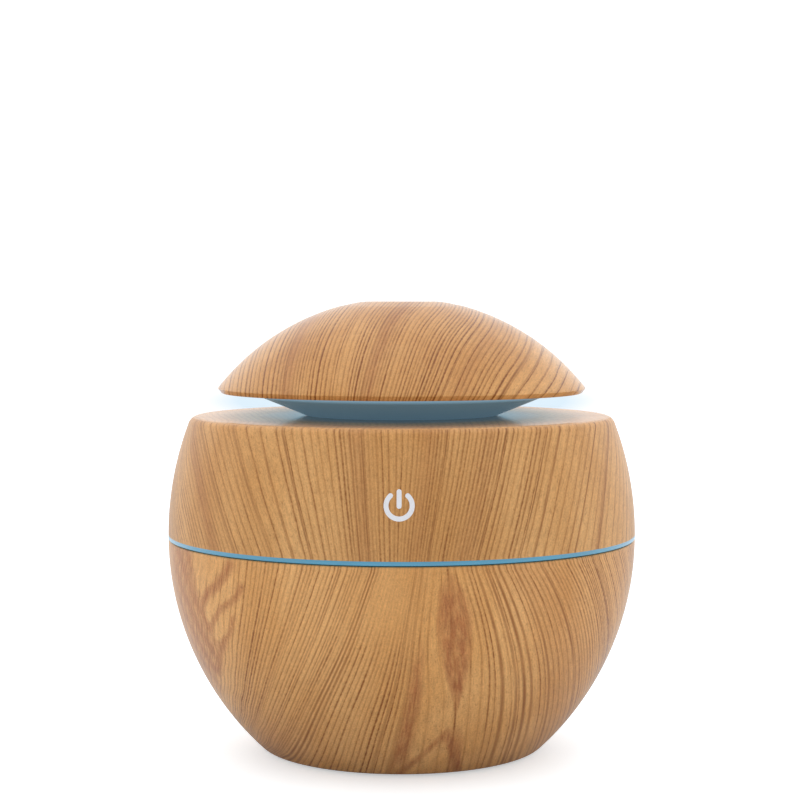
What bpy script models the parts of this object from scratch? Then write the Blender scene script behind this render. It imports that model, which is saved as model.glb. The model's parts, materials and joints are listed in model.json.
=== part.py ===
"""Ball-shaped ultrasonic essential oil diffuser with a wood-print casing.

The lower unit is the water tank. The upper unit is the atomising head: it carries the electronics, the wick
and the mist chimney. It sits in the tank's mouth, locks there by a bayonet ring, and lifts off for filling.

Metres, +Z up. The origin is the centre of the base. The front, with the touch key, faces -Y; the USB socket
faces +Y. Every joint's axis is the Z axis.
"""

import math

import bmesh
import bpy
from mathutils import Vector

MM = 0.001

# Driving dimensions of the outline
BELLY_RADIUS = 51.0 * MM  # widest, at the seam between the units
BELLY_Z = 47.0 * MM
BOWL_ARC = 63.0 * MM  # radius of the outline below the belly
BARREL_ARC = 69.0 * MM  # radius of the outline above it
BASE_Z = 0.4 * MM  # the bowl's flat base stands this far up, on the pad
BASE_FILLET = 3.0 * MM
FACE_Z = 72.9 * MM  # the head's flat top face
FACE_FILLET = 2.1 * MM
SEAM_Z = 46.25 * MM  # top edge of the bowl
RING_Z = (46.5 * MM, 47.45 * MM)  # the light ring's visible band
DOME_ARC = 50.9 * MM
DOME_CENTRE_Z = 47.7 * MM
DOME_RIM_RADIUS = 40.1 * MM
DOME_RIM_Z = 77.95 * MM
TOP_Z = 97.8 * MM
MOUTH_RADIUS = 6.75 * MM  # the hole in the dome that the chimney stands in
NECK_RADIUS = 21.4 * MM  # where the glowing cone meets the top face
CONE_TOP_RADIUS = 32.4 * MM
CONE_FLANGE_RADIUS = 36.8 * MM
CONE_WALL = 1.6 * MM
DOME_LAND_RADIUS = 37.2 * MM  # inner edge of the dome's rim, round the cone's flange
DOME_SLEEVE_Z = 90.5 * MM  # lower end of the short sleeve inside the mouth

# Walls and clearances
SHELL_WALL = 1.9 * MM
BARREL_WALL = 2.2 * MM
DOME_WALL = 2.0 * MM
LINER_INSET = (2.3 * MM, 4.1 * MM)  # the liner's outside and inside, measured in from the outline
GAP = 0.3 * MM  # between pieces that touch
FINE_GAP = 0.1 * MM  # between turned pieces that meet on a flat
CUT_MARGIN = 1.0 * MM  # how far a cutter or a joined post runs past the face it crosses

# Tank, bayonet and seal
PAD_RADIUS = 25.0 * MM
PAD_THICKNESS = 1.0 * MM
SHELL_FLOOR_Z = 2.6 * MM
LINER_FLOOR_Z = (2.9 * MM, 4.9 * MM)
LINER_TOP_Z = 45.0 * MM
LINER_FLANGE_RADIUS = 48.75 * MM
SKIRT_RADIUS = 44.3 * MM
SKIRT_INNER_RADIUS = 42.0 * MM
SKIRT_LOW_Z = 38.4 * MM
GROOVE_RADIUS = 43.8 * MM
GROOVE_Z = (43.2 * MM, 45.3 * MM)
SEAL_RADII = (44.1 * MM, 46.6 * MM)
SEAL_Z = (43.5 * MM, 45.0 * MM)
BAYONET_COUNT = 3
TAB_RADII = (44.8 * MM, 47.6 * MM)
TAB_Z = (41.0 * MM, 42.8 * MM)
TAB_MIDDLE_DEG = 93.0
TAB_SPAN_DEG = 30.0
STOP_SPAN_DEG = 3.5
LUG_RADII = (43.0 * MM, 45.9 * MM)
LUG_Z = (38.7 * MM, 40.7 * MM)
LUG_MIDDLE_DEG = 125.0  # in the gap between two tabs; turning the head by -30 degrees locks it
LUG_SPAN_DEG = 24.0

# Head: chassis, atomiser and chimney
FLANGE_RADIUS = 48.5 * MM
FLANGE_Z = (45.3 * MM, 46.3 * MM)
PLATE_LOW_Z = 44.5 * MM
BORE_RADIUS = 6.7 * MM  # the wick holder's bore through the chassis
SOCKET_LOW_Z = 40.5 * MM
CUP_RADIUS = 13.6 * MM
CUP_Z = (60.2 * MM, 66.6 * MM)
CUP_FLOOR_Z = 62.5 * MM
CUP_POCKET_RADIUS = 10.1 * MM
DISC_RADIUS = 8.0 * MM
DISC_Z = (64.2 * MM, 64.8 * MM)
CLAMP_Z = (66.9 * MM, 68.7 * MM)
CHIMNEY_RADII = (5.2 * MM, 6.4 * MM)
CHIMNEY_Z = (69.0 * MM, 96.9 * MM)
HOLE_RADIUS = 15.0 * MM  # light hole in the top face, under the cone
CHIMNEY_FLANGE_RADIUS = 9.4 * MM

# Electronics and fasteners
BOARD_RADII = (15.5 * MM, 31.5 * MM)
BOARD_Z = (52.0 * MM, 53.6 * MM)
BOARD_SCREW_RADIUS = 24.0 * MM
BOARD_SCREW_DEG = (30.0, 150.0, 270.0)
CASE_SCREW_RADIUS = 36.0 * MM
CASE_SCREW_DEG = (0.0, 120.0, 240.0)
CONE_SCREW_RADIUS = 18.0 * MM
CLAMP_SCREW_RADIUS = 11.85 * MM
# Screws: head radius, head height, shank radius and length
CASE_SCREW = (2.6 * MM, 1.5 * MM, 1.0 * MM, 11.0 * MM)
CONE_SCREW = (2.2 * MM, 1.3 * MM, 0.9 * MM, 5.6 * MM)
BOARD_SCREW = (1.9 * MM, 1.2 * MM, 0.8 * MM, 6.0 * MM)
CLAMP_SCREW = (1.5 * MM, 1.0 * MM, 0.7 * MM, 6.0 * MM)
LEAD_RADIUS = 0.5 * MM
LED_RADIUS = 27.5 * MM
LED_DEG = (60.0, 120.0, 240.0, 300.0)
USB_Z = 55.2 * MM  # middle of the socket
USB_MOUTH_Y = 47.4 * MM
TOUCH_Z = 58.1 * MM

# Wick
WICK_RADIUS = 4.1 * MM
WICK_Z = (18.2 * MM, 63.9 * MM)
HOLDER_RADII = (4.5 * MM, 6.3 * MM)
HOLDER_Z = (8.0 * MM, 61.9 * MM)
HOLDER_FLOOR_Z = 9.6 * MM
GRIP_RADIUS = 9.2 * MM
GRIP_Z = (38.7 * MM, 40.2 * MM)
SPRING_RADIUS = 3.3 * MM
SPRING_WIRE = 0.35 * MM
SPRING_Z = (9.9 * MM, 17.9 * MM)
SPRING_TURNS = 6

SEGMENTS = 48  # round the large turned pieces
FINE_SEGMENTS = 24  # round the small ones
SCREW_SEGMENTS = 10
MERGE = 0.00001
POST_TURN = math.radians(5)  # keeps a round hole's corners off the radial edges of the piece it is cut in


def clear_scene():
    for obj in list(bpy.data.objects):
        bpy.data.objects.remove(obj)


def new_collection(name, helper=False):
    made = bpy.data.collections.new(name)
    made.hide_render = helper
    bpy.context.scene.collection.children.link(made)
    return made


clear_scene()
PARTS = new_collection("oil_diffuser")
HELPERS = new_collection("cutters_and_joins", helper=True)


def material(name, colour, roughness, metallic=0.0):
    """A plain Principled material, made once for each name."""
    found = bpy.data.materials.get(name)
    if found:
        return found
    made = bpy.data.materials.new(name)
    made.use_nodes = True
    shader = made.node_tree.nodes["Principled BSDF"]
    shader.inputs["Base Color"].default_value = (*colour, 1.0)
    shader.inputs["Roughness"].default_value = roughness
    shader.inputs["Metallic"].default_value = metallic
    return made


WOOD = material("wood_print", (0.60, 0.35, 0.14), 0.40)
GLOW = material("light_diffuser", (0.25, 0.55, 0.72), 0.35)
WHITE = material("white_plastic", (0.80, 0.80, 0.78), 0.45)
SILICONE = material("silicone", (0.70, 0.70, 0.68), 0.60)
PAD = material("pad_rubber", (0.09, 0.09, 0.09), 0.80)
COTTON = material("cotton", (0.85, 0.83, 0.76), 0.95)
STEEL = material("steel", (0.62, 0.62, 0.62), 0.30, 1.0)
CERAMIC = material("piezo_disc", (0.72, 0.60, 0.30), 0.35, 1.0)
BOARD = material("circuit_board", (0.03, 0.20, 0.10), 0.50)
BLACK = material("black_parts", (0.03, 0.03, 0.03), 0.45)
COPPER = material("copper", (0.72, 0.38, 0.22), 0.35, 1.0)
RED = material("red_lead", (0.55, 0.03, 0.03), 0.50)


# ---------------------------------------------------------------- outlines


def outline_radius(arc, z, inset=0.0):
    """Radius of the ball's outline at height z, moved inwards by inset."""
    return BELLY_RADIUS - arc + math.sqrt((arc - inset) ** 2 - (z - BELLY_Z) ** 2)


def outline(arc, z_from, z_to, steps, inset=0.0):
    """Points along the ball's outline, evenly spaced in angle, as (radius, z)."""
    reach = arc - inset
    start, end = (math.asin((z - BELLY_Z) / reach) for z in (z_from, z_to))
    points = []
    for i in range(steps + 1):
        angle = start + (end - start) * i / steps
        points.append((BELLY_RADIUS - arc + reach * math.cos(angle), BELLY_Z + reach * math.sin(angle)))
    return points


def arc_points(centre, radius, from_deg, to_deg, steps):
    """Points along a circle's arc in the (radius, z) plane."""
    points = []
    for i in range(steps + 1):
        angle = math.radians(from_deg + (to_deg - from_deg) * i / steps)
        points.append((centre[0] + radius * math.cos(angle), centre[1] + radius * math.sin(angle)))
    return points


def edge_fillet(arc, flat_z, radius, upper, steps):
    """The rounded edge between the outline and a flat at flat_z, from the upper end to the lower one."""
    sign = 1 if upper else -1
    centre_z = flat_z - sign * radius
    centre = (outline_radius(arc, centre_z, inset=radius), centre_z)
    outline_deg = math.degrees(math.asin((centre_z - BELLY_Z) / (arc - radius)))
    ends = (90.0, outline_deg) if upper else (outline_deg, -90.0)
    return arc_points(centre, radius, *ends, steps)


def dome_points(reach, from_radius, to_radius, steps):
    """Points along the dome's sphere, of radius reach, between two radii from the axis."""
    start, end = (math.asin(r / reach) for r in (from_radius, to_radius))
    points = []
    for i in range(steps + 1):
        angle = start + (end - start) * i / steps
        points.append((reach * math.sin(angle), DOME_CENTRE_Z + reach * math.cos(angle)))
    return points


def polar(radius, degrees, z=0.0):
    angle = math.radians(degrees)
    return Vector((radius * math.cos(angle), radius * math.sin(angle), z))


# ---------------------------------------------------------------- shapes


def add_object(name, data, skin, collection):
    obj = bpy.data.objects.new(name, data)
    collection.objects.link(obj)
    if skin:
        data.materials.append(skin)
    if collection == HELPERS:
        obj.hide_render = True
        obj.display_type = "WIRE"
    return obj


def turned(name, profile, skin=None, segments=SEGMENTS, collection=None):
    """A turned solid. The profile holds (radius, z) points, down the outside, and back up or to the axis."""
    mesh = bpy.data.meshes.new(name)
    points = [(r, 0.0, z) for r, z in profile]
    edges = [(i, i + 1) for i in range(len(points) - 1)]
    if profile[0][0] > MERGE:
        edges.append((len(points) - 1, 0))
    mesh.from_pydata(points, edges, [])
    obj = add_object(name, mesh, skin, collection or PARTS)
    screw = obj.modifiers.new("Turn", "SCREW")
    screw.axis = "Z"
    screw.steps = screw.render_steps = segments
    screw.use_merge_vertices = True
    screw.merge_threshold = MERGE
    screw.use_smooth_shade = True
    return obj


def post(name, radius, heights, place=(0, 0, 0), segments=12, skin=None, collection=None):
    """A round post from a cone primitive. Its axis stands at place, and heights are measured from there."""
    low, high = heights
    mesh = bpy.data.meshes.new(name)
    shape = bmesh.new()
    ends = {"radius1": radius, "radius2": radius, "depth": high - low}
    bmesh.ops.create_cone(shape, cap_ends=True, segments=segments, **ends)
    bmesh.ops.translate(shape, vec=(0, 0, (low + high) / 2), verts=shape.verts)
    shape.to_mesh(mesh)
    shape.free()
    obj = add_object(name, mesh, skin, collection or PARTS)
    obj.location = place
    obj.rotation_euler.z = POST_TURN
    return obj


def post_cutter(name, radius, heights, place):
    return post(name, radius, heights, place, collection=HELPERS)


def box(name, size, centre, skin=None, bevel=0.0, collection=None):
    mesh = bpy.data.meshes.new(name)
    shape = bmesh.new()
    bmesh.ops.create_cube(shape, size=1.0)
    bmesh.ops.scale(shape, vec=size, verts=shape.verts)
    shape.to_mesh(mesh)
    shape.free()
    obj = add_object(name, mesh, skin, collection or PARTS)
    obj.location = centre
    if bevel:
        rounding = obj.modifiers.new("Rounding", "BEVEL")
        rounding.width = bevel
        rounding.segments = 2
    return obj


def plate(name, outline_xy, heights, skin=None, collection=None):
    """A flat plate of any outline: filled and extruded as a 2D curve, then made a mesh with welded caps."""
    low, high = heights
    curve = bpy.data.curves.new(name, "CURVE")
    curve.dimensions = "2D"
    curve.fill_mode = "BOTH"
    curve.extrude = (high - low) / 2
    spline = curve.splines.new("POLY")
    spline.points.add(len(outline_xy) - 1)
    for point, (x, y) in zip(spline.points, outline_xy):
        point.co = (x, y, 0.0, 1.0)
    spline.use_cyclic_u = True
    drawn = bpy.data.objects.new(name, curve)
    bpy.context.scene.collection.objects.link(drawn)
    drawn.location.z = (low + high) / 2
    bpy.context.view_layer.update()
    evaluated = drawn.evaluated_get(bpy.context.evaluated_depsgraph_get())
    mesh = bpy.data.meshes.new_from_object(evaluated)
    weld = bmesh.new()
    weld.from_mesh(mesh)
    bmesh.ops.remove_doubles(weld, verts=weld.verts, dist=MERGE)
    bmesh.ops.recalc_face_normals(weld, faces=weld.faces)
    weld.to_mesh(mesh)
    weld.free()
    place = drawn.matrix_world.copy()
    bpy.data.objects.remove(drawn)
    bpy.data.curves.remove(curve)
    obj = add_object(name, mesh, skin, collection or PARTS)
    obj.matrix_world = place
    return obj


def sector(name, radii, middle_deg, span_deg, heights, collection=None):
    """A block of a ring: the part of it between two radii and two angles."""
    inner, outer = radii
    steps = 6
    angles = [middle_deg - span_deg / 2 + span_deg * i / steps for i in range(steps + 1)]
    points = [polar(outer, a)[:2] for a in angles] + [polar(inner, a)[:2] for a in reversed(angles)]
    return plate(name, points, heights, collection=collection)


def stadium(width, height, steps=8):
    """A slot's outline: a rectangle with round ends, as (x, y) points."""
    radius = height / 2
    reach = width / 2 - radius
    points = []
    for side, start in ((1, -90.0), (-1, 90.0)):
        for i in range(steps + 1):
            corner = polar(radius, start + 180.0 * i / steps)
            points.append((side * reach + corner.x, corner.y))
    return points


def wire(name, points, radius, skin):
    """A round wire along points, with closed ends."""
    curve = bpy.data.curves.new(name, "CURVE")
    curve.dimensions = "3D"
    curve.bevel_depth = radius
    curve.bevel_resolution = 2
    curve.use_fill_caps = True
    spline = curve.splines.new("POLY")
    spline.points.add(len(points) - 1)
    for point, place in zip(spline.points, points):
        point.co = (*place, 1.0)
    return add_object(name, curve, skin, PARTS)


def boolean(obj, other, operation):
    step = obj.modifiers.new(f"{operation.title()} {other.name}", "BOOLEAN")
    step.operation = operation
    step.object = other


def cut(obj, *cutters):
    for cutter in cutters:
        boolean(obj, cutter, "DIFFERENCE")


def join(obj, *others):
    for other in others:
        boolean(obj, other, "UNION")


def pan_screw(name, place, size, up):
    """A pan-head screw whose head bears at place. Its shank runs up, or down where up is False."""
    head_radius, head_height, shank_radius, length = size
    chamfer = head_height * 0.35
    profile = [
        (0.0, length),
        (shank_radius * 0.5, length),
        (shank_radius, length - shank_radius),
        (shank_radius, 0.0),
        (head_radius, 0.0),
        (head_radius, chamfer - head_height),
        (head_radius * 0.7, -head_height),
        (0.0, -head_height),
    ]
    obj = turned(name, profile, STEEL, SCREW_SEGMENTS)
    obj.location = place
    obj.rotation_euler.x = 0.0 if up else math.pi
    return obj


# ---------------------------------------------------------------- water tank


def make_tank_shell():
    """The bowl that shows: a thin shell with a flat base and a shallow pocket for the pad."""
    fillet = edge_fillet(BOWL_ARC, BASE_Z, BASE_FILLET, upper=False, steps=3)
    pocket = PAD_RADIUS + GAP
    profile = (
        outline(BOWL_ARC, SEAM_Z, fillet[0][1], 7)
        + fillet[1:]
        + [(pocket, BASE_Z), (pocket, PAD_THICKNESS + GAP), (0.0, PAD_THICKNESS + GAP)]
    )
    inside = [(0.0, SHELL_FLOOR_Z)] + outline(BOWL_ARC, SHELL_FLOOR_Z, SEAM_Z, 6, inset=SHELL_WALL)
    # The profile starts on the axis at the floor's top, so the wall's inside comes first, from the floor up.
    return turned("tank_shell", inside + profile, WOOD)


def make_tank_liner():
    """The white inner bowl that holds the water, with the three bayonet tabs and their stops at its mouth."""
    outer, inner = LINER_INSET
    floor_low, floor_top = LINER_FLOOR_Z
    flange_z = LINER_TOP_Z - 1.2 * MM
    profile = (
        [(0.0, floor_top)]
        + outline(BOWL_ARC, floor_top, LINER_TOP_Z, 7, inset=inner)
        + [(LINER_FLANGE_RADIUS, LINER_TOP_Z), (LINER_FLANGE_RADIUS, flange_z)]
        + outline(BOWL_ARC, flange_z - 1.0 * MM, floor_low, 6, inset=outer)
        + [(0.0, floor_low)]
    )
    liner = turned("tank_liner", profile, WHITE)
    for i in range(BAYONET_COUNT):
        turn = i * 360.0 / BAYONET_COUNT
        middle = TAB_MIDDLE_DEG + turn
        stop_middle = middle - TAB_SPAN_DEG / 2 + STOP_SPAN_DEG / 2
        tab = sector(f"tab_{i + 1}", TAB_RADII, middle, TAB_SPAN_DEG, TAB_Z, HELPERS)
        stop_z = (LUG_Z[0], TAB_Z[0] + 0.5 * MM)
        stop = sector(f"stop_{i + 1}", TAB_RADII, stop_middle, STOP_SPAN_DEG, stop_z, HELPERS)
        join(liner, tab, stop)
    return liner


def make_base_pad():
    return post("base_pad", PAD_RADIUS, (0.0, PAD_THICKNESS), segments=SEGMENTS, skin=PAD)


def make_seal_ring():
    """The silicone ring in the skirt's groove, with two lips."""
    (inner, outer), (low, high) = SEAL_RADII, SEAL_Z
    lip = 0.3 * MM
    waist = (outer - 0.7 * MM, (low + high) / 2)
    profile = [(outer, high), (outer, high - lip), waist, (outer, low + lip), (outer, low)]
    return turned("seal_ring", profile + [(inner, low), (inner, high)], SILICONE)


# ---------------------------------------------------------------- head casing


def make_upper_shell():
    """The barrel that shows above the seam, closed by the flat top face, with screw bosses inside."""
    fillet = edge_fillet(BARREL_ARC, FACE_Z, FACE_FILLET, upper=True, steps=4)
    low_z = RING_Z[1] + FINE_GAP
    ceiling_z = FACE_Z - BARREL_WALL
    profile = (
        fillet
        + outline(BARREL_ARC, fillet[-1][1], low_z, 5)[1:]
        + outline(BARREL_ARC, low_z, ceiling_z, 4, inset=BARREL_WALL)
        + [(HOLE_RADIUS, ceiling_z), (HOLE_RADIUS, FACE_Z)]
    )
    shell = turned("upper_shell", profile, WOOD)
    boss_z = (FLANGE_Z[1] + GAP, ceiling_z + CUT_MARGIN)
    pilot_z = (boss_z[0] - CUT_MARGIN, 60.0 * MM)
    face_hole_z = (ceiling_z - CUT_MARGIN, FACE_Z + CUT_MARGIN)
    for i, degrees in enumerate(CASE_SCREW_DEG, 1):
        place = polar(CASE_SCREW_RADIUS, degrees)
        join(shell, post_cutter(f"boss_{i}", 3.0 * MM, boss_z, place))
        cut(shell, post_cutter(f"boss_pilot_{i}", 1.35 * MM, pilot_z, place))
    for i, degrees in enumerate(CASE_SCREW_DEG, 1):
        place = polar(CONE_SCREW_RADIUS, degrees)
        cut(shell, post_cutter(f"cone_screw_hole_{i}", 1.3 * MM, face_hole_z, place))
    cut(shell, make_usb_window())
    return shell


def make_usb_window():
    """The slot through the barrel's back that the USB plug goes into."""
    reach = 12.0 * MM
    window = plate("usb_window", stadium(11.0 * MM, 6.6 * MM), (0.0, reach), collection=HELPERS)
    window.rotation_euler.x = math.pi / 2
    window.location = (0.0, BELLY_RADIUS + 4.0 * MM, USB_Z)
    return window


def make_light_ring():
    """The translucent ring that glows at the seam; its upstand stands inside the barrel."""
    low, high = RING_Z
    web, upstand = 44.8 * MM, (46.4 * MM, 48.4 * MM)
    web_z, upstand_z = 48.0 * MM, 49.8 * MM
    profile = [
        (BELLY_RADIUS, high),
        (BELLY_RADIUS, low),
        (web, low),
        (web, web_z),
        (upstand[0], web_z),
        (upstand[0], upstand_z),
        (upstand[1], upstand_z),
        (upstand[1], high),
    ]
    return turned("light_ring", profile, GLOW)


def make_cone_diffuser():
    """The translucent dish between the top face and the dome: glowing cone, base web and upper flange."""
    low = FACE_Z + FINE_GAP
    top = DOME_RIM_Z + 0.05 * MM
    chimney_hole = CHIMNEY_RADII[1] + GAP
    boss = (15.6 * MM, 20.6 * MM)  # the raised band that the cone's screws bite into
    web_z, boss_z, foot_z = low + 1.4 * MM, low + 4.6 * MM, low + 2.4 * MM
    profile = [
        (CONE_FLANGE_RADIUS, top + CONE_WALL),
        (CONE_FLANGE_RADIUS, top),
        (CONE_TOP_RADIUS, top),
        (NECK_RADIUS, low),
        (chimney_hole, low),
        (chimney_hole, web_z),
        (boss[0], web_z),
        (boss[0], boss_z),
        (boss[1], boss_z),
        (boss[1], foot_z),
        (CONE_TOP_RADIUS - 0.7 * MM, top + CONE_WALL),
    ]
    cone = turned("cone_diffuser", profile, GLOW)
    pilot_z = (low - CUT_MARGIN, boss_z - 0.7 * MM)
    for i, degrees in enumerate(CASE_SCREW_DEG, 1):
        place = polar(CONE_SCREW_RADIUS, degrees)
        cut(cone, post_cutter(f"cone_pilot_{i}", 1.2 * MM, pilot_z, place))
    return cone


def make_cap_dome():
    """The wood-print dome, cut from one sphere, with a rolled edge round the mist outlet."""
    inner = DOME_ARC - DOME_WALL
    land_z = DOME_RIM_Z + 1.4 * MM
    sleeve_radius = MOUTH_RADIUS + 1.6 * MM
    chamfer = (DOME_RIM_RADIUS - 0.8 * MM, DOME_RIM_Z)
    profile = (
        [
            (MOUTH_RADIUS, TOP_Z - 0.8 * MM),
            (MOUTH_RADIUS + 0.25 * MM, TOP_Z - 0.2 * MM),
            (MOUTH_RADIUS + 0.8 * MM, TOP_Z),
            (8.4 * MM, TOP_Z),
            (9.8 * MM, TOP_Z - 0.14 * MM),
        ]
        + dome_points(DOME_ARC, 11.2 * MM, DOME_RIM_RADIUS, 7)
        + [chamfer, (DOME_LAND_RADIUS, DOME_RIM_Z), (DOME_LAND_RADIUS, land_z)]
        + dome_points(inner, DOME_LAND_RADIUS - 0.5 * MM, sleeve_radius, 6)
        + [(sleeve_radius, DOME_SLEEVE_Z), (MOUTH_RADIUS, DOME_SLEEVE_Z)]
    )
    return turned("cap_dome", profile, WOOD)


# ---------------------------------------------------------------- chassis and atomiser


def make_chassis():
    """The white plate that closes the head from below, with its skirt, lugs, wick bore and disc cup."""
    flange_low, flange_high = FLANGE_Z
    groove_low, groove_high = GROOVE_Z
    tube_radius = BORE_RADIUS + 1.9 * MM
    socket_radius = BORE_RADIUS + 3.0 * MM
    profile = [
        (BORE_RADIUS, CUP_FLOOR_Z),
        (CUP_POCKET_RADIUS, CUP_FLOOR_Z),
        (CUP_POCKET_RADIUS, CUP_Z[1]),
        (CUP_RADIUS, CUP_Z[1]),
        (CUP_RADIUS, CUP_Z[0]),
        (tube_radius, CUP_Z[0] - 4 * MM),
        (tube_radius, flange_high),
        (FLANGE_RADIUS, flange_high),
        (FLANGE_RADIUS, flange_low),
        (GROOVE_RADIUS, groove_high),
        (GROOVE_RADIUS, groove_low),
        (SKIRT_RADIUS, groove_low),
        (SKIRT_RADIUS, SKIRT_LOW_Z),
        (SKIRT_INNER_RADIUS, SKIRT_LOW_Z),
        (SKIRT_INNER_RADIUS, PLATE_LOW_Z),
        (socket_radius, PLATE_LOW_Z),
        (socket_radius, SOCKET_LOW_Z),
        (BORE_RADIUS, SOCKET_LOW_Z),
    ]
    chassis = turned("chassis", profile, WHITE)
    for i in range(BAYONET_COUNT):
        middle = LUG_MIDDLE_DEG + i * 360.0 / BAYONET_COUNT
        join(chassis, sector(f"lug_{i + 1}", LUG_RADII, middle, LUG_SPAN_DEG, LUG_Z, HELPERS))
    standoff_z = (flange_high - 0.6 * MM, BOARD_Z[0] - GAP)
    standoff_pilot_z = (47.0 * MM, 53.0 * MM)
    case_hole_z = (PLATE_LOW_Z - CUT_MARGIN, 48.0 * MM)
    clamp_pilot_z = (61.5 * MM, 68.0 * MM)
    for i, degrees in enumerate(BOARD_SCREW_DEG, 1):
        place = polar(BOARD_SCREW_RADIUS, degrees)
        join(chassis, post_cutter(f"standoff_{i}", 2.4 * MM, standoff_z, place))
        cut(chassis, post_cutter(f"standoff_pilot_{i}", 1.1 * MM, standoff_pilot_z, place))
    for i, degrees in enumerate(CASE_SCREW_DEG, 1):
        place = polar(CASE_SCREW_RADIUS, degrees)
        cut(chassis, post_cutter(f"case_screw_hole_{i}", 1.5 * MM, case_hole_z, place))
    for i, degrees in enumerate(BOARD_SCREW_DEG, 1):
        place = polar(CLAMP_SCREW_RADIUS, degrees)
        cut(chassis, post_cutter(f"clamp_pilot_{i}", 1.0 * MM, clamp_pilot_z, place))
    return chassis


def make_disc_seal():
    """The silicone ring that holds the disc in its inner groove."""
    slack = 0.2 * MM
    low, high = CUP_FLOOR_Z + GAP, CUP_Z[1] - slack
    groove_low, groove_high = DISC_Z[0] - slack, DISC_Z[1] + slack
    outer, lip, groove = CUP_POCKET_RADIUS - GAP, 5.8 * MM, DISC_RADIUS + GAP
    profile = [
        (outer, high),
        (outer, low),
        (lip, low),
        (lip, groove_low),
        (groove, groove_low),
        (groove, groove_high),
        (lip, groove_high),
        (lip, high),
    ]
    return turned("disc_seal", profile, SILICONE, FINE_SEGMENTS)


def make_ultrasonic_disc():
    """The atomising disc, dished a little where its pores are."""
    low, high = DISC_Z
    profile = [(0.0, high + 0.25 * MM), (2.0 * MM, high), (DISC_RADIUS, high)]
    return turned("ultrasonic_disc", profile + [(DISC_RADIUS, low), (0.0, low)], CERAMIC, FINE_SEGMENTS)


def make_disc_clamp():
    """The ring that presses the seal and the disc down; the chimney stands on its inner edge."""
    inner = CHIMNEY_RADII[0] + 0.4 * MM
    cut_z = (66.0 * MM, 70.0 * MM)
    clamp = post("disc_clamp", CUP_RADIUS, CLAMP_Z, segments=FINE_SEGMENTS, skin=WHITE)
    cut(clamp, post_cutter("clamp_bore", inner, cut_z, (0, 0, 0)))
    for i, degrees in enumerate(BOARD_SCREW_DEG, 1):
        place = polar(CLAMP_SCREW_RADIUS, degrees)
        cut(clamp, post_cutter(f"clamp_hole_{i}", 1.0 * MM, cut_z, place))
    return clamp


def make_mist_chimney():
    """The tube that leads the mist from the disc to the dome's outlet, with a flange under the dish's web."""
    inner, outer = CHIMNEY_RADII
    low, high = CHIMNEY_Z
    flange_z = (FACE_Z - 1.4 * MM, FACE_Z - 0.2 * MM)
    chamfer = 0.4 * MM
    profile = [
        (outer - chamfer, high),
        (outer, high - chamfer),
        (outer, flange_z[1]),
        (CHIMNEY_FLANGE_RADIUS, flange_z[1]),
        (CHIMNEY_FLANGE_RADIUS, flange_z[0]),
        (outer, flange_z[0]),
        (outer, low),
        (inner, low),
        (inner, high - 1.0 * MM),
        (inner + 0.5 * MM, high),
    ]
    return turned("mist_chimney", profile, WHITE, FINE_SEGMENTS)


# ---------------------------------------------------------------- wick


def make_wick_holder():
    """The slotted tube that screws up into the chassis and keeps the wick against the disc."""
    inner, outer = HOLDER_RADII
    low, high = HOLDER_Z
    drain = chamfer = 1.2 * MM
    profile = [
        (outer, high),
        (outer, GRIP_Z[1]),
        (GRIP_RADIUS, GRIP_Z[1]),
        (GRIP_RADIUS, GRIP_Z[0]),
        (outer, GRIP_Z[0] - 1.5 * MM),
        (outer, low + chamfer),
        (outer - chamfer, low),
        (drain, low),
        (drain, HOLDER_FLOOR_Z),
        (inner, HOLDER_FLOOR_Z),
        (inner, high),
    ]
    holder = turned("wick_holder", profile, WHITE, FINE_SEGMENTS)
    slot_size = (2.2 * MM, 16.0 * MM, 18.0 * MM)
    slot_z = 24.0 * MM
    for i, turn in enumerate((0.0, math.pi / 2), 1):
        slot = box(f"water_slot_{i}", slot_size, (0, 0, slot_z), collection=HELPERS)
        slot.rotation_euler.z = turn
        cut(holder, slot)
    return holder


def make_wick():
    (low, high), edge = WICK_Z, 0.5 * MM
    profile = [
        (0.0, high),
        (WICK_RADIUS - edge, high),
        (WICK_RADIUS, high - edge),
        (WICK_RADIUS, low + edge),
        (WICK_RADIUS - edge, low),
        (0.0, low),
    ]
    return turned("wick", profile, COTTON, FINE_SEGMENTS)


def make_wick_spring():
    """The coil under the wick; its first and last turns lie flat, as a ground spring's do."""
    low, high = (SPRING_Z[0] + SPRING_WIRE, SPRING_Z[1] - SPRING_WIRE)
    steps = 12
    dead = 0.75  # turns that lie flat at each end
    dead_rise = 1.15 * SPRING_WIRE  # what each of them still climbs, to clear the next turn
    points = []
    for i in range(SPRING_TURNS * steps + 1):
        turns = i / steps
        first = min(turns, dead) / dead
        last = max(turns - SPRING_TURNS + dead, 0.0) / dead
        free = min(max((turns - dead) / (SPRING_TURNS - 2 * dead), 0.0), 1.0)
        height = low + dead_rise * (first + last) + (high - low - 2 * dead_rise) * free
        points.append(polar(SPRING_RADIUS, 360.0 * turns, height))
    return wire("wick_spring", points, SPRING_WIRE, STEEL)


# ---------------------------------------------------------------- electronics


def make_main_board():
    """A ring-shaped board round the disc cup, with a tab that reaches back to the USB socket."""
    inner, outer = BOARD_RADII
    board = post("main_board", outer, BOARD_Z, segments=SEGMENTS, skin=BOARD)
    low, high = BOARD_Z
    tab_size = (14.0 * MM, 20.0 * MM, high - low)
    tab_centre = (0, 36.0 * MM, (low + high) / 2)
    cut_z = (low - CUT_MARGIN, high + CUT_MARGIN)
    join(board, box("board_tab", tab_size, tab_centre, collection=HELPERS))
    cut(board, post("board_bore", inner, cut_z, segments=FINE_SEGMENTS, collection=HELPERS))
    for i, degrees in enumerate(BOARD_SCREW_DEG, 1):
        cut(board, post_cutter(f"board_hole_{i}", 1.2 * MM, cut_z, polar(BOARD_SCREW_RADIUS, degrees)))
    return board


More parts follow.
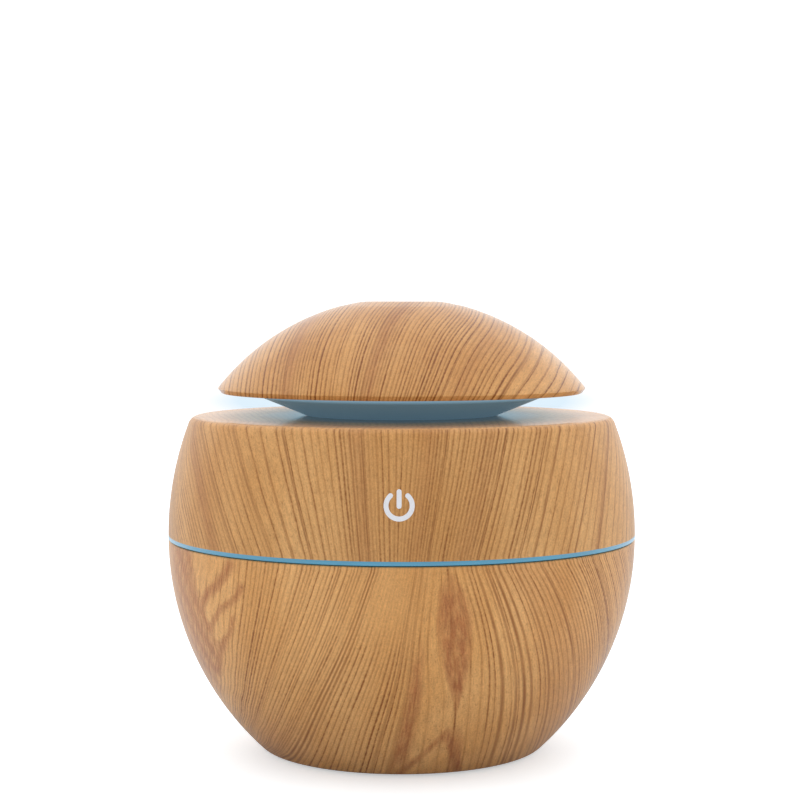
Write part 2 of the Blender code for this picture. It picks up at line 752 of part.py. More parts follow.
def make_leds():
    size = (5.0 * MM, 5.0 * MM, 1.5 * MM)
    middle_z = BOARD_Z[1] + GAP + size[2] / 2
    leds = []
    for i, degrees in enumerate(LED_DEG, 1):
        led = box(f"led_{i}", size, polar(LED_RADIUS, degrees, middle_z), WHITE)
        led.rotation_euler.z = math.radians(degrees)
        leds.append(led)
    return leds


def make_board_parts():
    """The parts that stand on the board: controller chip, drive transistor, coil and capacitor."""
    low = BOARD_Z[1] + GAP
    parts = []
    for name, size, place in (
        ("controller_chip", (6.0, 5.0, 1.5), (24.0, -3.0)),
        ("drive_transistor", (6.0, 6.0, 2.3), (-24.0, 6.0)),
    ):
        size, (x, y) = Vector(size) * MM, place
        parts.append(box(name, size, (x * MM, y * MM, low + size.z / 2), BLACK, bevel=0.2 * MM))
    for name, radius, height, place in (
        ("drive_coil", 4.0, 7.0, (-24.0, -3.5, 0.0)),
        ("capacitor", 2.5, 6.5, (25.0, 5.5, 0.0)),
    ):
        heights = (low, low + height * MM)
        parts.append(post(name, radius * MM, heights, Vector(place) * MM, FINE_SEGMENTS, BLACK))
    return parts


def make_usb_socket():
    """The micro USB socket: a steel shell with an open mouth and a tongue inside."""
    shell = (7.6 * MM, 5.2 * MM, 2.7 * MM)
    mouth = (6.9 * MM, 5.0 * MM, 2.0 * MM)
    tongue = (4.0 * MM, 4.2 * MM, 0.6 * MM)
    mouth_y = USB_MOUTH_Y - 1.5 * MM
    tongue_y = USB_MOUTH_Y - 2.6 * MM
    socket = box("usb_socket", shell, (0, USB_MOUTH_Y - shell[1] / 2, USB_Z), STEEL)
    cut(socket, box("usb_mouth", mouth, (0, mouth_y, USB_Z), collection=HELPERS))
    join(socket, box("usb_tongue", tongue, (0, tongue_y, USB_Z + 0.3 * MM), collection=HELPERS))
    return socket


def make_touch_plate():
    """The electrode on the inside of the front wall, which senses a finger through it."""
    lean = math.asin((TOUCH_Z - BELLY_Z) / (BARREL_ARC - BARREL_WALL))
    wall_y = -outline_radius(BARREL_ARC, TOUCH_Z, inset=BARREL_WALL)
    pad = post("touch_plate", 4.0 * MM, (-1.0 * MM, -0.6 * MM), (0, wall_y, TOUCH_Z), FINE_SEGMENTS, COPPER)
    pad.rotation_euler = (math.pi / 2 - lean, 0.0, 0.0)
    return pad


def smooth_route(points, steps):
    """Points on a Catmull-Rom curve through the given ones."""
    ends = [points[0] * 2 - points[1], *points, points[-1] * 2 - points[-2]]
    route = []
    for a, b, c, d in zip(ends, ends[1:], ends[2:], ends[3:]):
        for i in range(steps):
            t = i / steps
            bend = (2 * a - 5 * b + 4 * c - d) * t**2 + (3 * b - a - 3 * c + d) * t**3
            route.append(0.5 * (2 * b + (c - a) * t + bend))
    return [*route, points[-1]]


def make_leads():
    """Two leads from the disc cup to the board, and one from the touch plate."""
    board_z = BOARD_Z[1] + 0.8 * MM
    cup_side = CUP_RADIUS + 0.9 * MM
    leads = []
    for name, degrees, skin in (("disc_lead_live", 352.0, RED), ("disc_lead_return", 8.0, BLACK)):
        route = [
            polar(cup_side, degrees, 63.0 * MM),
            polar(cup_side + 2.5 * MM, degrees, 60.5 * MM),
            polar(cup_side + 3.5 * MM, degrees, 57.0 * MM),
            polar(cup_side + 3.5 * MM, degrees, board_z),
        ]
        leads.append(wire(name, smooth_route(route, 3), LEAD_RADIUS, skin))
    route = [
        Vector((0.0, -45.9, 58.0)) * MM,
        Vector((0.5, -42.0, 58.5)) * MM,
        Vector((2.5, -36.0, 57.5)) * MM,
        Vector((4.0, -30.5, 56.0)) * MM,
        Vector((4.0, -29.0, 54.4)) * MM,
    ]
    leads.append(wire("touch_lead", smooth_route(route, 3), LEAD_RADIUS, BLACK))
    return leads


def make_screws():
    """Three screws up into the barrel's bosses, and three each for the cone, the board and the disc clamp."""
    screws = []
    for i, degrees in enumerate(CASE_SCREW_DEG, 1):
        place = polar(CASE_SCREW_RADIUS, degrees, PLATE_LOW_Z - GAP)
        screws.append(pan_screw(f"case_screw_{i}", place, CASE_SCREW, up=True))
        place = polar(CONE_SCREW_RADIUS, degrees, FACE_Z - BARREL_WALL - GAP)
        screws.append(pan_screw(f"cone_screw_{i}", place, CONE_SCREW, up=True))
    for i, degrees in enumerate(BOARD_SCREW_DEG, 1):
        place = polar(BOARD_SCREW_RADIUS, degrees, BOARD_Z[1] + GAP)
        screws.append(pan_screw(f"board_screw_{i}", place, BOARD_SCREW, up=False))
        place = polar(CLAMP_SCREW_RADIUS, degrees, CLAMP_Z[1] + FINE_GAP)
        screws.append(pan_screw(f"clamp_screw_{i}", place, CLAMP_SCREW, up=False))
    return screws


def moving_body(name, pieces, parent=None):
    """An empty on the joint's axis that carries the pieces which move together."""
    body = bpy.data.objects.new(f"{name}_body", None)
    body.empty_display_size = 0.01
    PARTS.objects.link(body)
    body.parent = parent
    for piece in pieces:
        piece.parent = body
    return body


def main():
    tank = moving_body("tank", [make_tank_shell(), make_tank_liner(), make_base_pad()])
    seal = moving_body("seal", [make_seal_ring()], tank)
    casing = [make_upper_shell(), make_light_ring(), make_cone_diffuser(), make_cap_dome(), make_chassis()]
    atomiser = [make_disc_seal(), make_ultrasonic_disc(), make_disc_clamp(), make_mist_chimney()]
    board_parts = [make_main_board(), *make_leds(), *make_board_parts()]
    wiring = [make_usb_socket(), make_touch_plate(), *make_leads()]
    head = moving_body("head", [*casing, *atomiser, *board_parts, *wiring, *make_screws()], seal)
    holder = moving_body("wick_holder", [make_wick_holder(), make_wick_spring()], head)
    moving_body("wick", [make_wick()], holder)


main()
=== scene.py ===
"""Looks for the ball-shaped essential oil diffuser: wood-print casing, lit ring and cone, and parts inside.

The CAD frame gives each piece's place and outer size. The casing pieces here are finer turned meshes that
stand for their CAD nodes. They carry the wood grain as UV maps, so that the print runs over each piece as the
film on the real one does.

Lengths are in metres, except in the wood print's section, which works in millimetres. The front is -Y, and
azimuth is measured from there in degrees, positive towards +X.
"""

import json
import math

import bmesh
import bpy
import numpy as np
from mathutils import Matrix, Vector


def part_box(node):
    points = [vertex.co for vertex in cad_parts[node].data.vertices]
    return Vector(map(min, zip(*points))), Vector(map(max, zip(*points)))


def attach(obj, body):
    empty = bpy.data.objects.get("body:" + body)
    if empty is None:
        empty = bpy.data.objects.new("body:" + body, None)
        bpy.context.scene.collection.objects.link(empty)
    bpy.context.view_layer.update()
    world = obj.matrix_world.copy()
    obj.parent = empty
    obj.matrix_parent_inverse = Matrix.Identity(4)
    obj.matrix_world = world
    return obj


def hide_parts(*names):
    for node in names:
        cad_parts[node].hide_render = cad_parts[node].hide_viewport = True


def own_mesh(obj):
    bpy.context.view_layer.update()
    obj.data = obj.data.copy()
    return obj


MM = 0.001

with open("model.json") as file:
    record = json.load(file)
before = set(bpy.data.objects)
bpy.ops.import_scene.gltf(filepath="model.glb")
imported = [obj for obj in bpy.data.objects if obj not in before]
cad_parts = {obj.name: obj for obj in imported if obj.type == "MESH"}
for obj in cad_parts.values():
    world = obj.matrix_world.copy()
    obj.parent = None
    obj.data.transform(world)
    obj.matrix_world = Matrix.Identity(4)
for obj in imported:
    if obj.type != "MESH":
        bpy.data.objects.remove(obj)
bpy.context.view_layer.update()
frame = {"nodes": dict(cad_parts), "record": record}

# Camera: straight in front of the object, looking slightly down on it
CAMERA_DISTANCE = 0.42905
CAMERA_HEIGHT = 0.09828
CAMERA_PITCH_DEG = 87.0535
CAMERA_LENS_MM = 88.15
CAMERA_SHIFT = -0.0021  # sideways, as a share of the picture's width

# Outline of the casing: two arcs that meet at the belly, and a dome cut from one sphere
BELLY_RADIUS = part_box("tank_shell")[1][0]
BELLY_Z = 47.0 * MM
BOWL_ARC = 63.0 * MM
BARREL_ARC = 69.0 * MM
BASE_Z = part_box("tank_shell")[0][2]
SEAM_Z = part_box("tank_shell")[1][2]
FACE_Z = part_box("upper_shell")[1][2]
BARREL_LOW_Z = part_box("upper_shell")[0][2]
TOP_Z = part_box("cap_dome")[1][2]
RIM_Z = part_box("cap_dome")[0][2]
RIM_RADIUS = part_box("cap_dome")[1][0]
DOME_ARC = 50.9 * MM
DOME_CENTRE_Z = 47.7 * MM

RIM_LAND = 37.2 * MM  # inner edge of the dome's rim, round the cone's flange
CONE_WALL = 1.6 * MM

USB_Z = 55.2 * MM  # the charging window at the back
TURN = 240  # segments round the turned pieces
FINE_TURN = 360  # round the bowl, for the burl's thin bands
SHARP_DEG = 32.0  # edges sharper than this stay crisp


# ---------------------------------------------------------------- turned meshes


def arc(centre, radius, from_deg, to_deg, steps):
    """Points on a circle's arc in the (radius, height) plane."""
    angles = np.radians(np.linspace(from_deg, to_deg, steps + 1))
    return [(centre[0] + radius * math.cos(a), centre[1] + radius * math.sin(a)) for a in angles]


def side_radius(arc_radius, z, inset=0.0):
    """The casing's radius at a height, or that of a wall inset from it."""
    return BELLY_RADIUS - arc_radius + math.sqrt((arc_radius - inset) ** 2 - (z - BELLY_Z) ** 2)


def side(arc_radius, z_from, z_to, steps, inset=0.0):
    """The casing's outline, or its inner wall, between two heights."""
    reach = arc_radius - inset
    ends = [math.degrees(math.asin((z - BELLY_Z) / reach)) for z in (z_from, z_to)]
    return arc((BELLY_RADIUS - arc_radius, BELLY_Z), reach, *ends, steps)


def dome_side(reach, r_from, r_to, steps):
    """The dome's outline, or its inner wall, between two radii."""
    ends = [90.0 - math.degrees(math.asin(r / reach)) for r in (r_from, r_to)]
    return arc((0.0, DOME_CENTRE_Z), reach, *ends, steps)


def softened(corners, steps=3):
    """An outline from (radius, height, fillet) corners, each rounded by its fillet."""
    points = []
    for i, (r, z, fillet) in enumerate(corners):
        here = Vector((r, z))
        if fillet == 0.0:
            points.append((r, z))
            continue
        before = (Vector(corners[i - 1][:2]) - here).normalized() * fillet
        after = (Vector(corners[(i + 1) % len(corners)][:2]) - here).normalized() * fillet
        for j in range(steps + 1):
            t = j / steps
            points.append(tuple(here + before * (1 - t) ** 2 + after * t**2))
    return points


def lathe(name, profile, segments=TURN):
    """Turns a closed profile of (radius, height) points round Z into a mesh object."""
    shape = bmesh.new()
    verts = [shape.verts.new((r, 0.0, z)) for r, z in profile]
    edges = [shape.edges.new(pair) for pair in zip(verts, verts[1:] + verts[:1])]
    turn = {"cent": (0, 0, 0), "axis": (0, 0, 1), "angle": 2 * math.pi, "steps": segments, "use_merge": True}
    bmesh.ops.spin(shape, geom=verts + edges, **turn)
    bmesh.ops.remove_doubles(shape, verts=shape.verts, dist=0.001 * MM)
    bmesh.ops.recalc_face_normals(shape, faces=shape.faces)
    return finished(name, shape)


def finished(name, shape):
    """Makes the object, smooth but for its sharp edges."""
    for face in shape.faces:
        face.smooth = True
    for edge in shape.edges:
        if len(edge.link_faces) == 2 and edge.calc_face_angle(0.0) > math.radians(SHARP_DEG):
            edge.smooth = False
    mesh = bpy.data.meshes.new(name)
    shape.to_mesh(mesh)
    shape.free()
    obj = bpy.data.objects.new(name, mesh)
    bpy.context.scene.collection.objects.link(obj)
    return obj


def cut(obj, outline, y_from, y_to):
    """Cuts a window with the given (x, z) outline through a piece, between two depths."""
    shape = bmesh.new()
    near = [shape.verts.new((x, y_from, z)) for x, z in outline]
    far = [shape.verts.new((x, y_to, z)) for x, z in outline]
    shape.faces.new(near)
    shape.faces.new(far)
    for i in range(len(outline)):
        shape.faces.new((near[i - 1], near[i], far[i], far[i - 1]))
    bmesh.ops.recalc_face_normals(shape, faces=shape.faces)
    cutter = finished("cutter", shape)
    modifier = obj.modifiers.new("Window", "BOOLEAN")
    modifier.object = cutter
    modifier.solver = "EXACT"
    mesh = bpy.data.meshes.new_from_object(obj.evaluated_get(bpy.context.evaluated_depsgraph_get()))
    obj.modifiers.clear()
    old, obj.data = obj.data, mesh
    bpy.data.meshes.remove(old)
    bpy.data.objects.remove(cutter)


# ---------------------------------------------------------------- the wood print
#
# A printed piece's grain is worked out at its mesh's corners and kept in two UV maps. "grain" holds how many
# growth rings lie between a point and the back of the piece (or the dome's left edge), and the distance along
# the grain. "across" holds the line's place, which is where it starts: degrees round the seam, or millimetres
# across the dome's rim. Beside it stands the rings' spacing. The "stain" attribute is how far the knots and
# resin streaks redden the print. Below zero it marks plain wood, where the ring lines are faint.

RINGS = 290  # round each of the two halves of the ball
DOME_CROWDING = 1.25  # the dome's rings are this much closer than its stops say
WOBBLES = ((0.20, 9, 1.0), (0.20, 31, 0.0), (0.16, 71, 2.0))  # of the density: depth, waves a turn, phase
KNOT_DEG = 10.4  # seam azimuth and height of the knot on the bowl
KNOT_Z = 33.0
BARREL_SEAM = 47.6  # heights where the barrel's and the bowl's lines start
BOWL_SEAM = 45.6
FLAT_PLACE = 400.0  # marks a level face in the "across" map, far above any real place
FLAT_SPACING = 1.4
FLAT_FIRST_RING = 60  # keeps the ring numbers of a level face above zero
STEP_DEG = 0.4  # for finding the spacing
STEP = 0.3


def wrapped(degrees):
    return (degrees + 180.0) % 360.0 - 180.0


def bell(value, middle, width):
    return np.exp(-(((value - middle) / width) ** 2))


def rise(value, start, end):
    """0 before start, 1 after end, smooth between them."""
    t = np.clip((value - start) / (end - start), 0.0, 1.0)
    return t * t * (3 - 2 * t)


def ring_counter(stops):
    """Counts rings across the grain, from (place, rings per unit) stops. Round the ball there are RINGS."""
    places, density = (np.array(column, float) for column in zip(*stops))
    round_ball = places[0] == -180.0
    grid = np.linspace(places[0], places[-1], 2881)
    turned = np.radians(grid)
    wobble = 1.0 + sum(depth * np.sin(waves * turned + phase) for depth, waves, phase in WOBBLES)
    here = np.interp(grid, places, density) * wobble
    counts = np.concatenate([[0.0], np.cumsum((here[1:] + here[:-1]) / 2) * (grid[1] - grid[0])])
    counts *= RINGS / counts[-1] if round_ball else DOME_CROWDING

    def count(place):
        if not round_ball:
            return np.interp(place, grid, counts)
        turns = np.floor((place + 180.0) / 360.0)
        return np.interp(place - 360.0 * turns, grid, counts) + turns * RINGS

    return count


BARREL_RINGS = ring_counter(
    [(-180, 0.6), (-140, 0.5), (-95, 0.75), (-62, 0.62), (-44, 0.5), (-38, 0.3), (-22, 0.3), (-15, 0.85)]
    + [(12, 0.85), (24, 0.65), (32, 0.28), (56, 0.22), (75, 0.35), (110, 0.8), (150, 0.7), (180, 0.6)]
)
BOWL_RINGS = ring_counter(
    [(-180, 0.6), (-120, 0.7), (-70, 0.4), (-42, 0.35), (-36, 0.5), (-25, 0.66), (-17, 0.95), (-2, 1.15)]
    + [(3, 1.0), (5, 0.6), (16, 0.6), (20, 0.95), (27, 0.7), (40, 0.6), (47, 1.0), (60, 1.1), (100, 0.7)]
    + [(180, 0.6)]
)
DOME_RINGS = ring_counter(
    [(-60, 0.6), (-30, 0.65), (-25, 1.15), (-5, 1.2), (3, 0.9), (9, 0.68), (19, 0.55), (24, 0.32), (60, 0.32)]
)


def traced(x, shift):
    """Where the line through x starts, when a line has moved sideways by shift(start) on its way here."""
    start = x
    for _ in range(40):
        start = start + 0.4 * (x - start - shift(start))
    return start


# Seen from the front the grain runs nearly straight. For lines that start at some x: their lean, and how it
# changes with the distance from the seam (or with its square, from the dome's rim)
BARREL_LINES = np.array(
    [(-51, -0.30, 0), (-32, -0.36, 0), (-26, -0.35, 0), (-21, -0.27, 0), (-16, -0.22, 0), (-12, -0.14, 0)]
    + [(-7, -0.08, 0), (-2, -0.03, 0), (1, 0.08, 0), (6, 0.15, 0), (10.5, 0.2, 0), (15, 0.25, 0)]
    + [(27, 0.25, 0), (34, 0.24, 0), (43, 0.12, 0), (51, 0, 0)]
).T
BOWL_LINES = np.array(
    [(-51, 0, 0), (-35, -0.08, 0), (-29, -0.14, -0.001), (-23, -0.26, 0), (-17, -0.36, 0)]
    + [(-12, -0.37, -0.0007), (-6.4, -0.37, -0.0014), (-1, -0.27, -0.0012), (4.4, -0.055, -0.0022)]
    + [(10, 0.18, -0.0032), (15.4, 0.40, -0.0069), (21, 0.54, -0.0093), (27, 0.60, -0.0107)]
    + [(33, 0.58, -0.0116), (39, 0.46, -0.011), (51, 0.25, -0.007)]
).T
DOME_LINES = np.array(
    [(-45, -0.05, 0.0009), (-25, 0.04, 0.0008), (-13, 0.09, 0.00065), (-2, 0.27, 0.0006), (6, 0.46, 0.00055)]
    + [(16, 0.62, 0.0005), (22, 0.76, 0.0004), (30, 0.93, 0.0003), (45, 1.0, 0)]
).T
FRONT_DEG = 68.0  # from this azimuth the lines turn gradually, to run straight up and down at the back
BACK_DEG = 172.0


def ball_radius(arc_radius, z):
    reach = arc_radius / MM
    return BELLY_RADIUS / MM - reach + np.sqrt(reach**2 - (z - BELLY_Z / MM) ** 2)


def along_lines(azimuth, radius, away, lines):
    """The seam azimuth that the line through a point of the ball starts from."""
    front = np.clip(wrapped(azimuth), -FRONT_DEG, FRONT_DEG)

    def shift(start):
        lean, bend = (np.interp(start, lines[0], row) for row in lines[1:])
        return lean * away + bend * away**2

    start = traced(radius * np.sin(np.radians(front)), shift)
    seam = np.degrees(np.arcsin(np.clip(start * MM / BELLY_RADIUS, -0.999, 0.999)))
    return azimuth - (front - seam) * (1 - rise(np.abs(wrapped(azimuth)), FRONT_DEG, BACK_DEG))


def barrel_across(azimuth, z, _radius):
    above = np.clip(z - BARREL_SEAM, 0.0, None)
    place = along_lines(azimuth, ball_radius(BARREL_ARC, z), above, BARREL_LINES)
    turned = np.radians(azimuth)
    return place + 0.12 * np.sin(0.16 * z + 3 * turned) + 0.2 * np.sin(0.07 * z - 5 * turned)


def bowl_seam(azimuth, z):
    """Where the line through a point of the bowl meets the seam."""
    below = np.clip(BOWL_SEAM - z, 0.0, None)
    return along_lines(azimuth, ball_radius(BOWL_ARC, z), below, BOWL_LINES)


def bowl_across(azimuth, z, _radius):
    turned = np.radians(azimuth)
    place = bowl_seam(azimuth, z)
    place = place + 0.12 * np.sin(0.18 * z + 4 * turned) + 0.15 * np.sin(0.09 * z - 7 * turned)
    # Lines bulge round the knot, and bend at the burl on the left
    off = wrapped(place - KNOT_DEG)
    place = place - 1.3 * bell(z, KNOT_Z, 12.0) * off * bell(off, 0.0, 4.5) / 2.2
    burl = rise(-wrapped(azimuth), 42.0, 54.0) * (1 - rise(-wrapped(azimuth), 62.0, 92.0))
    return place + burl * (1.6 * bell(z, 36.0, 6.0) - 1.0 * bell(z, 25.0, 5.0) + 0.35 * np.sin(0.95 * z))


def dome_across(azimuth, z, radius):
    """The dome's lines run on over its ridge and down its back, leaning the same way."""
    x = radius * np.sin(np.radians(azimuth))
    y = -radius * np.cos(np.radians(azimuth))
    height = np.clip(z - RIM_Z / MM, 0.0, None)
    ridge = np.sqrt(np.maximum((DOME_ARC / MM) ** 2 - x**2, 0.0)) + (DOME_CENTRE_Z - RIM_Z) / MM

    def shift(start):
        lean, bend = (np.interp(start, DOME_LINES[0], row) for row in DOME_LINES[1:])
        here = lean * height + bend * height**3
        top = lean * ridge + bend * ridge**3
        return np.where(y < 0, here, 2 * top - here)

    return traced(x, shift) + 0.2 * np.sin(0.21 * y + 0.11 * x) * rise(x, -20.0, 5.0)


def read(items, field, width=1, kind=float):
    """A field of a mesh's vertices, corners or faces, as an array with a row for each."""
    values = np.empty(len(items) * width, kind)
    items.foreach_get(field, values)
    return values.reshape(-1, width) if width > 1 else values


def add_map(mesh, name, first, second):
    layer = mesh.uv_layers.new(name=name)
    layer.data.foreach_set("uv", np.stack([first, second], axis=1).astype(np.float32).ravel())


def print_grain(obj, across, count, along, stains, flats=True):
    """Gives a casing piece its "grain" and "across" UV maps and its "stain" attribute."""
    mesh = obj.data
    corner = read(mesh.loops, "vertex_index", kind=np.int32)
    sizes = read(mesh.polygons, "loop_total", kind=np.int32)
    x, y, z = (read(mesh.vertices, "co", 3).T / MM)[:, corner]
    upright = np.repeat(read(mesh.polygons, "normal", 3)[:, 2], sizes)
    centres = read(mesh.polygons, "center", 3)
    face_azimuth = np.repeat(np.degrees(np.arctan2(centres[:, 0], -centres[:, 1])), sizes)
    radius = np.hypot(x, y)
    azimuth = np.degrees(np.arctan2(x, -y))
    azimuth = face_azimuth + wrapped(azimuth - face_azimuth)  # unbroken across the back

    def crossed(turn=0.0, up=0.0, out=0.0):
        """Rings between the two points a step either side of each corner."""
        ahead = count(across(azimuth + turn, z + up, radius + out))
        return ahead - count(across(azimuth - turn, z - up, radius - out))

    turned = crossed(turn=STEP_DEG) / (2 * np.radians(STEP_DEG) * np.maximum(radius, 2.0))
    steep = np.sqrt(np.maximum(1 - upright**2, 0.0))
    climbed = (steep * crossed(up=STEP) - upright * crossed(out=STEP)) / (2 * STEP)
    spacing = 1 / np.maximum(np.hypot(turned, climbed), 0.1)
    place = across(azimuth, z, radius)
    level = (np.abs(upright) > 0.9) & flats
    level_x = x + 4.0 * np.sin(0.05 * y) + 0.3 * np.sin(0.2 * y + 0.1 * x)
    rings = np.where(level, level_x / FLAT_SPACING + FLAT_FIRST_RING, count(place))
    add_map(mesh, "grain", rings, np.where(level, y, along(z, y)))
    add_map(mesh, "across", np.where(level, FLAT_PLACE, place), np.where(level, FLAT_SPACING, spacing))
    stain = mesh.attributes.new("stain", "FLOAT", "CORNER")
    reddened = np.where(level, 0.0, np.clip(stains(azimuth, z, place), -1, 1))
    stain.data.foreach_set("value", reddened.astype(np.float32))


def barrel_stains(_azimuth, z, place):
    streaks = ((0.35, -8.0, 1.6), (0.3, 3.0, 1.2), (0.45, 51.0, 1.4), (0.25, 14.0, 2.0))
    slanting = 0.55 * bell(place, -47.0 + 0.12 * (z - 59), 2.2)
    return slanting + sum(depth * bell(place, middle, width) for depth, middle, width in streaks)


DEGREE = 0.87  # the length of a degree round the bowl, near the burl

# The burl's bands: a band's width and depth, and (azimuth, height) points along its middle
BURL_BANDS = (
    (
        1.3,
        0.9,
        ((-42.8, 45), (-44.6, 42.8), (-47.8, 40.3), (-51.8, 38.3), (-55, 35.8), (-56, 33.3), (-54.5, 30)),
    ),
    (
        0.75,
        1.0,
        ((-39.4, 40.7), (-41.3, 38.6), (-44, 37), (-46.7, 35.9), (-49, 34.3), (-51, 32.8), (-53, 30.8)),
    ),
    (0.55, 1.0, ((-43.4, 34), (-44.5, 32), (-46.1, 30.2), (-48.6, 28.6), (-50.7, 27.1))),
    (0.9, 1.1, ((-49, 28.3), (-51.7, 26), (-54.7, 23.1), (-58.3, 20.2))),
)
# Values by height: half the knot's width in degrees, where the burl's smoke-brown wood ends towards the
# front, and where the plain wood of its eyes ends
KNOT_HALF = ((13, 18, 23, 29, 36, 42, 46), (0.1, 0.5, 1.5, 2.7, 3.5, 3.0, 1.5))
SMOKE_BORDER = ((14, 20, 24, 27.6, 30, 33, 38, 44), (-63, -58.6, -53.4, -51.5, -54, -56, -56, -58))
EYES_BORDER = ((20, 23, 27, 29.5, 36, 39, 45), (-60, -56, -52, -48, -45, -42, -43))


def near_line(azimuth, z, points, width):
    """1 on a line through (azimuth, height) points of the bowl, fading over width millimetres."""
    nearest = np.inf
    for (azimuth_1, z_1), (azimuth_2, z_2) in zip(points, points[1:]):
        side_step = (azimuth_2 - azimuth_1) * DEGREE
        rise_step = z_2 - z_1
        beside = (azimuth - azimuth_1) * DEGREE
        t = (beside * side_step + (z - z_1) * rise_step) / (side_step**2 + rise_step**2)
        t = np.clip(t, 0.0, 1.0)
        nearest = np.minimum(nearest, np.hypot(beside - t * side_step, z - z_1 - t * rise_step))
    return bell(nearest, 0.0, width)


def knot_marks(off, z):
    """The knot, the brown edge beside it and the pointed arch below it. Off is degrees from its middle."""
    half = np.interp(z, *KNOT_HALF)
    knot = (1 - rise(np.abs(off) / half, 0.4, 1.2)) * rise(z, 12.0, 21.0) * (1 - rise(z, 38.0, 49.0))
    edge = rise(off, -5.9, -5.3) * (1 - rise(off, -5.0, -3.2))
    edge = edge * (1 - rise(z, 20.0, 37.0)) * rise(z, -3.0, 8.0)
    above_arch = z - 11.4 + 9.9 * np.abs((off + 1.8 - z / 11.4) / 2.8) ** 1.2
    arch = bell(above_arch, -0.6, 1.8) * (np.abs(off) < 6) * (z < 14)
    stem = bell(off, 0.4, 0.8) * (1 - rise(z, 8.0, 16.0))
    return knot + 0.95 * edge + 0.9 * (arch + 0.7 * stem)


def burl_marks(front, z):
    """Smoke-brown wood on the bowl's left, and the bands that curl out of it."""
    smoke = rise(np.interp(z, *SMOKE_BORDER) - front, -2.0, 2.5)
    smoke = smoke * (1 - rise(-front, 66.0, 84.0)) * rise(z, 10.0, 22.0)
    smoke = smoke * (0.85 + 0.2 * np.sin(0.8 * z + 0.9 * front) + 0.12 * np.sin(2.1 * z - 1.3 * front))
    bands = sum(depth * near_line(front, z, points, width) for width, depth, points in BURL_BANDS)
    return np.maximum(smoke, 1.15 * bands)


def bowl_stains(azimuth, z, place):
    off = wrapped(bowl_seam(azimuth, z) - KNOT_DEG)
    front = wrapped(azimuth)
    foot = 0.45 * (1 - rise(z, 2.0, 18.0)) * bell(off, -23.0, 8.0)
    flush = 0.3 * bell(place, 30.0, 8.5)
    marks = knot_marks(off, z) + burl_marks(front, z) + foot + flush
    # Plain wood: beside the knot, at the top of the middle, and in the burl's eyes
    plain = rise(off, -5.0, -3.5) * (1 - rise(off, 2.8, 4.5))
    faint = 0.92 * rise(z, 26.0, 38.0) * bell(place, -1.0, 9.0)
    eyes = rise(np.interp(z, *EYES_BORDER) - front, -1.0, 2.0)
    eyes = eyes * (1 - rise(-front, 70.0, 90.0)) * rise(z, 18.0, 22.0)
    return marks - (np.maximum(0.65 * plain, faint) + 0.95 * eyes) * (1 - rise(marks, 0.0, 0.4))


def dome_stains(_azimuth, _z, place):
    return 0.6 * bell(place, -23.5, 1.5) + 0.6 * bell(place, -7.2, 1.1) + 0.3 * bell(place, 10.5, 2.0)


# ---------------------------------------------------------------- materials


class Nodes:
    """A node tree under construction, with a short method for each kind of node it needs."""

    def __init__(self, tree):
        self.tree = tree

    def feed(self, socket, value):
        """Links a socket to another one, or sets it to a value. Colours may leave out their alpha."""
        if isinstance(value, bpy.types.NodeSocket):
            self.tree.links.new(value, socket)
        elif socket.type == "RGBA" and len(value) == 3:
            socket.default_value = (*value, 1.0)
        else:
            socket.default_value = value

    def node(self, kind, inputs=(), **settings):
        made = self.tree.nodes.new(kind)
        for setting, value in settings.items():
            setattr(made, setting, value)
        for socket, value in dict(inputs).items():
            self.feed(made.inputs[socket], value)
        return made

    def math(self, operation, first, second=0.0, third=0.0):
        return self.node("ShaderNodeMath", {0: first, 1: second, 2: third}, operation=operation).outputs[0]

    def place(self):
        return self.node("ShaderNodeTexCoord").outputs["Object"]

    def vector(self, x=0.0, y=0.0, z=0.0):
        return self.node("ShaderNodeCombineXYZ", {0: x, 1: y, 2: z}).outputs[0]

    def split(self, vector):
        return self.node("ShaderNodeSeparateXYZ", {0: vector}).outputs

    def scaled(self, vector, scale, location=(0.0, 0.0, 0.0)):
        inputs = {"Vector": vector, "Location": location, "Scale": scale}
        return self.node("ShaderNodeMapping", inputs).outputs[0]

    def noise(self, vector, scale=1.0, detail=2.0, roughness=0.5):
        inputs = {"Vector": vector, "Scale": scale, "Detail": detail, "Roughness": roughness}
        return self.node("ShaderNodeTexNoise", inputs).outputs[0]

    def ramp(self, factor, stops):
        """A curve of straight pieces through (position, value) stops."""
        made = self.node("ShaderNodeValToRGB", {0: factor})
        elements = made.color_ramp.elements
        while len(elements) < len(stops):
            elements.new(0.5)
        for element, (position, value) in zip(elements, stops):
            element.position = position
            element.color = (*value, 1.0) if isinstance(value, tuple) else (value, value, value, 1.0)
        return made.outputs[0]

    def between(self, value, from_low, from_high, to_low, to_high):
        """The value's place in one range, carried over to another."""
        ends = {0: value, 1: from_low, 2: from_high, 3: to_low, 4: to_high}
        return self.node("ShaderNodeMapRange", ends).outputs[0]

    def mix(self, factor, first, second, blend="MIX"):
        inputs = {"Factor": factor, 6: first, 7: second}
        return self.node("ShaderNodeMix", inputs, data_type="RGBA", blend_type=blend).outputs[2]


class Shader(Nodes):
    """A Principled material under construction."""

    def __init__(self, name, colour=(0.8, 0.8, 0.8), roughness=0.5, metallic=0.0):
        self.material = bpy.data.materials.new(name)
        self.material.use_nodes = True
        super().__init__(self.material.node_tree)
        self.base = self.tree.nodes["Principled BSDF"]
        self.put("Base Color", colour)
        self.put("Roughness", roughness)
        self.put("Metallic", metallic)

    def put(self, socket, value):
        self.feed(self.base.inputs[socket], value)

    def bump(self, height, distance, strength=1.0):
        made = self.node("ShaderNodeBump", {"Height": height, "Distance": distance, "Strength": strength})
        self.put("Normal", made.outputs[0])


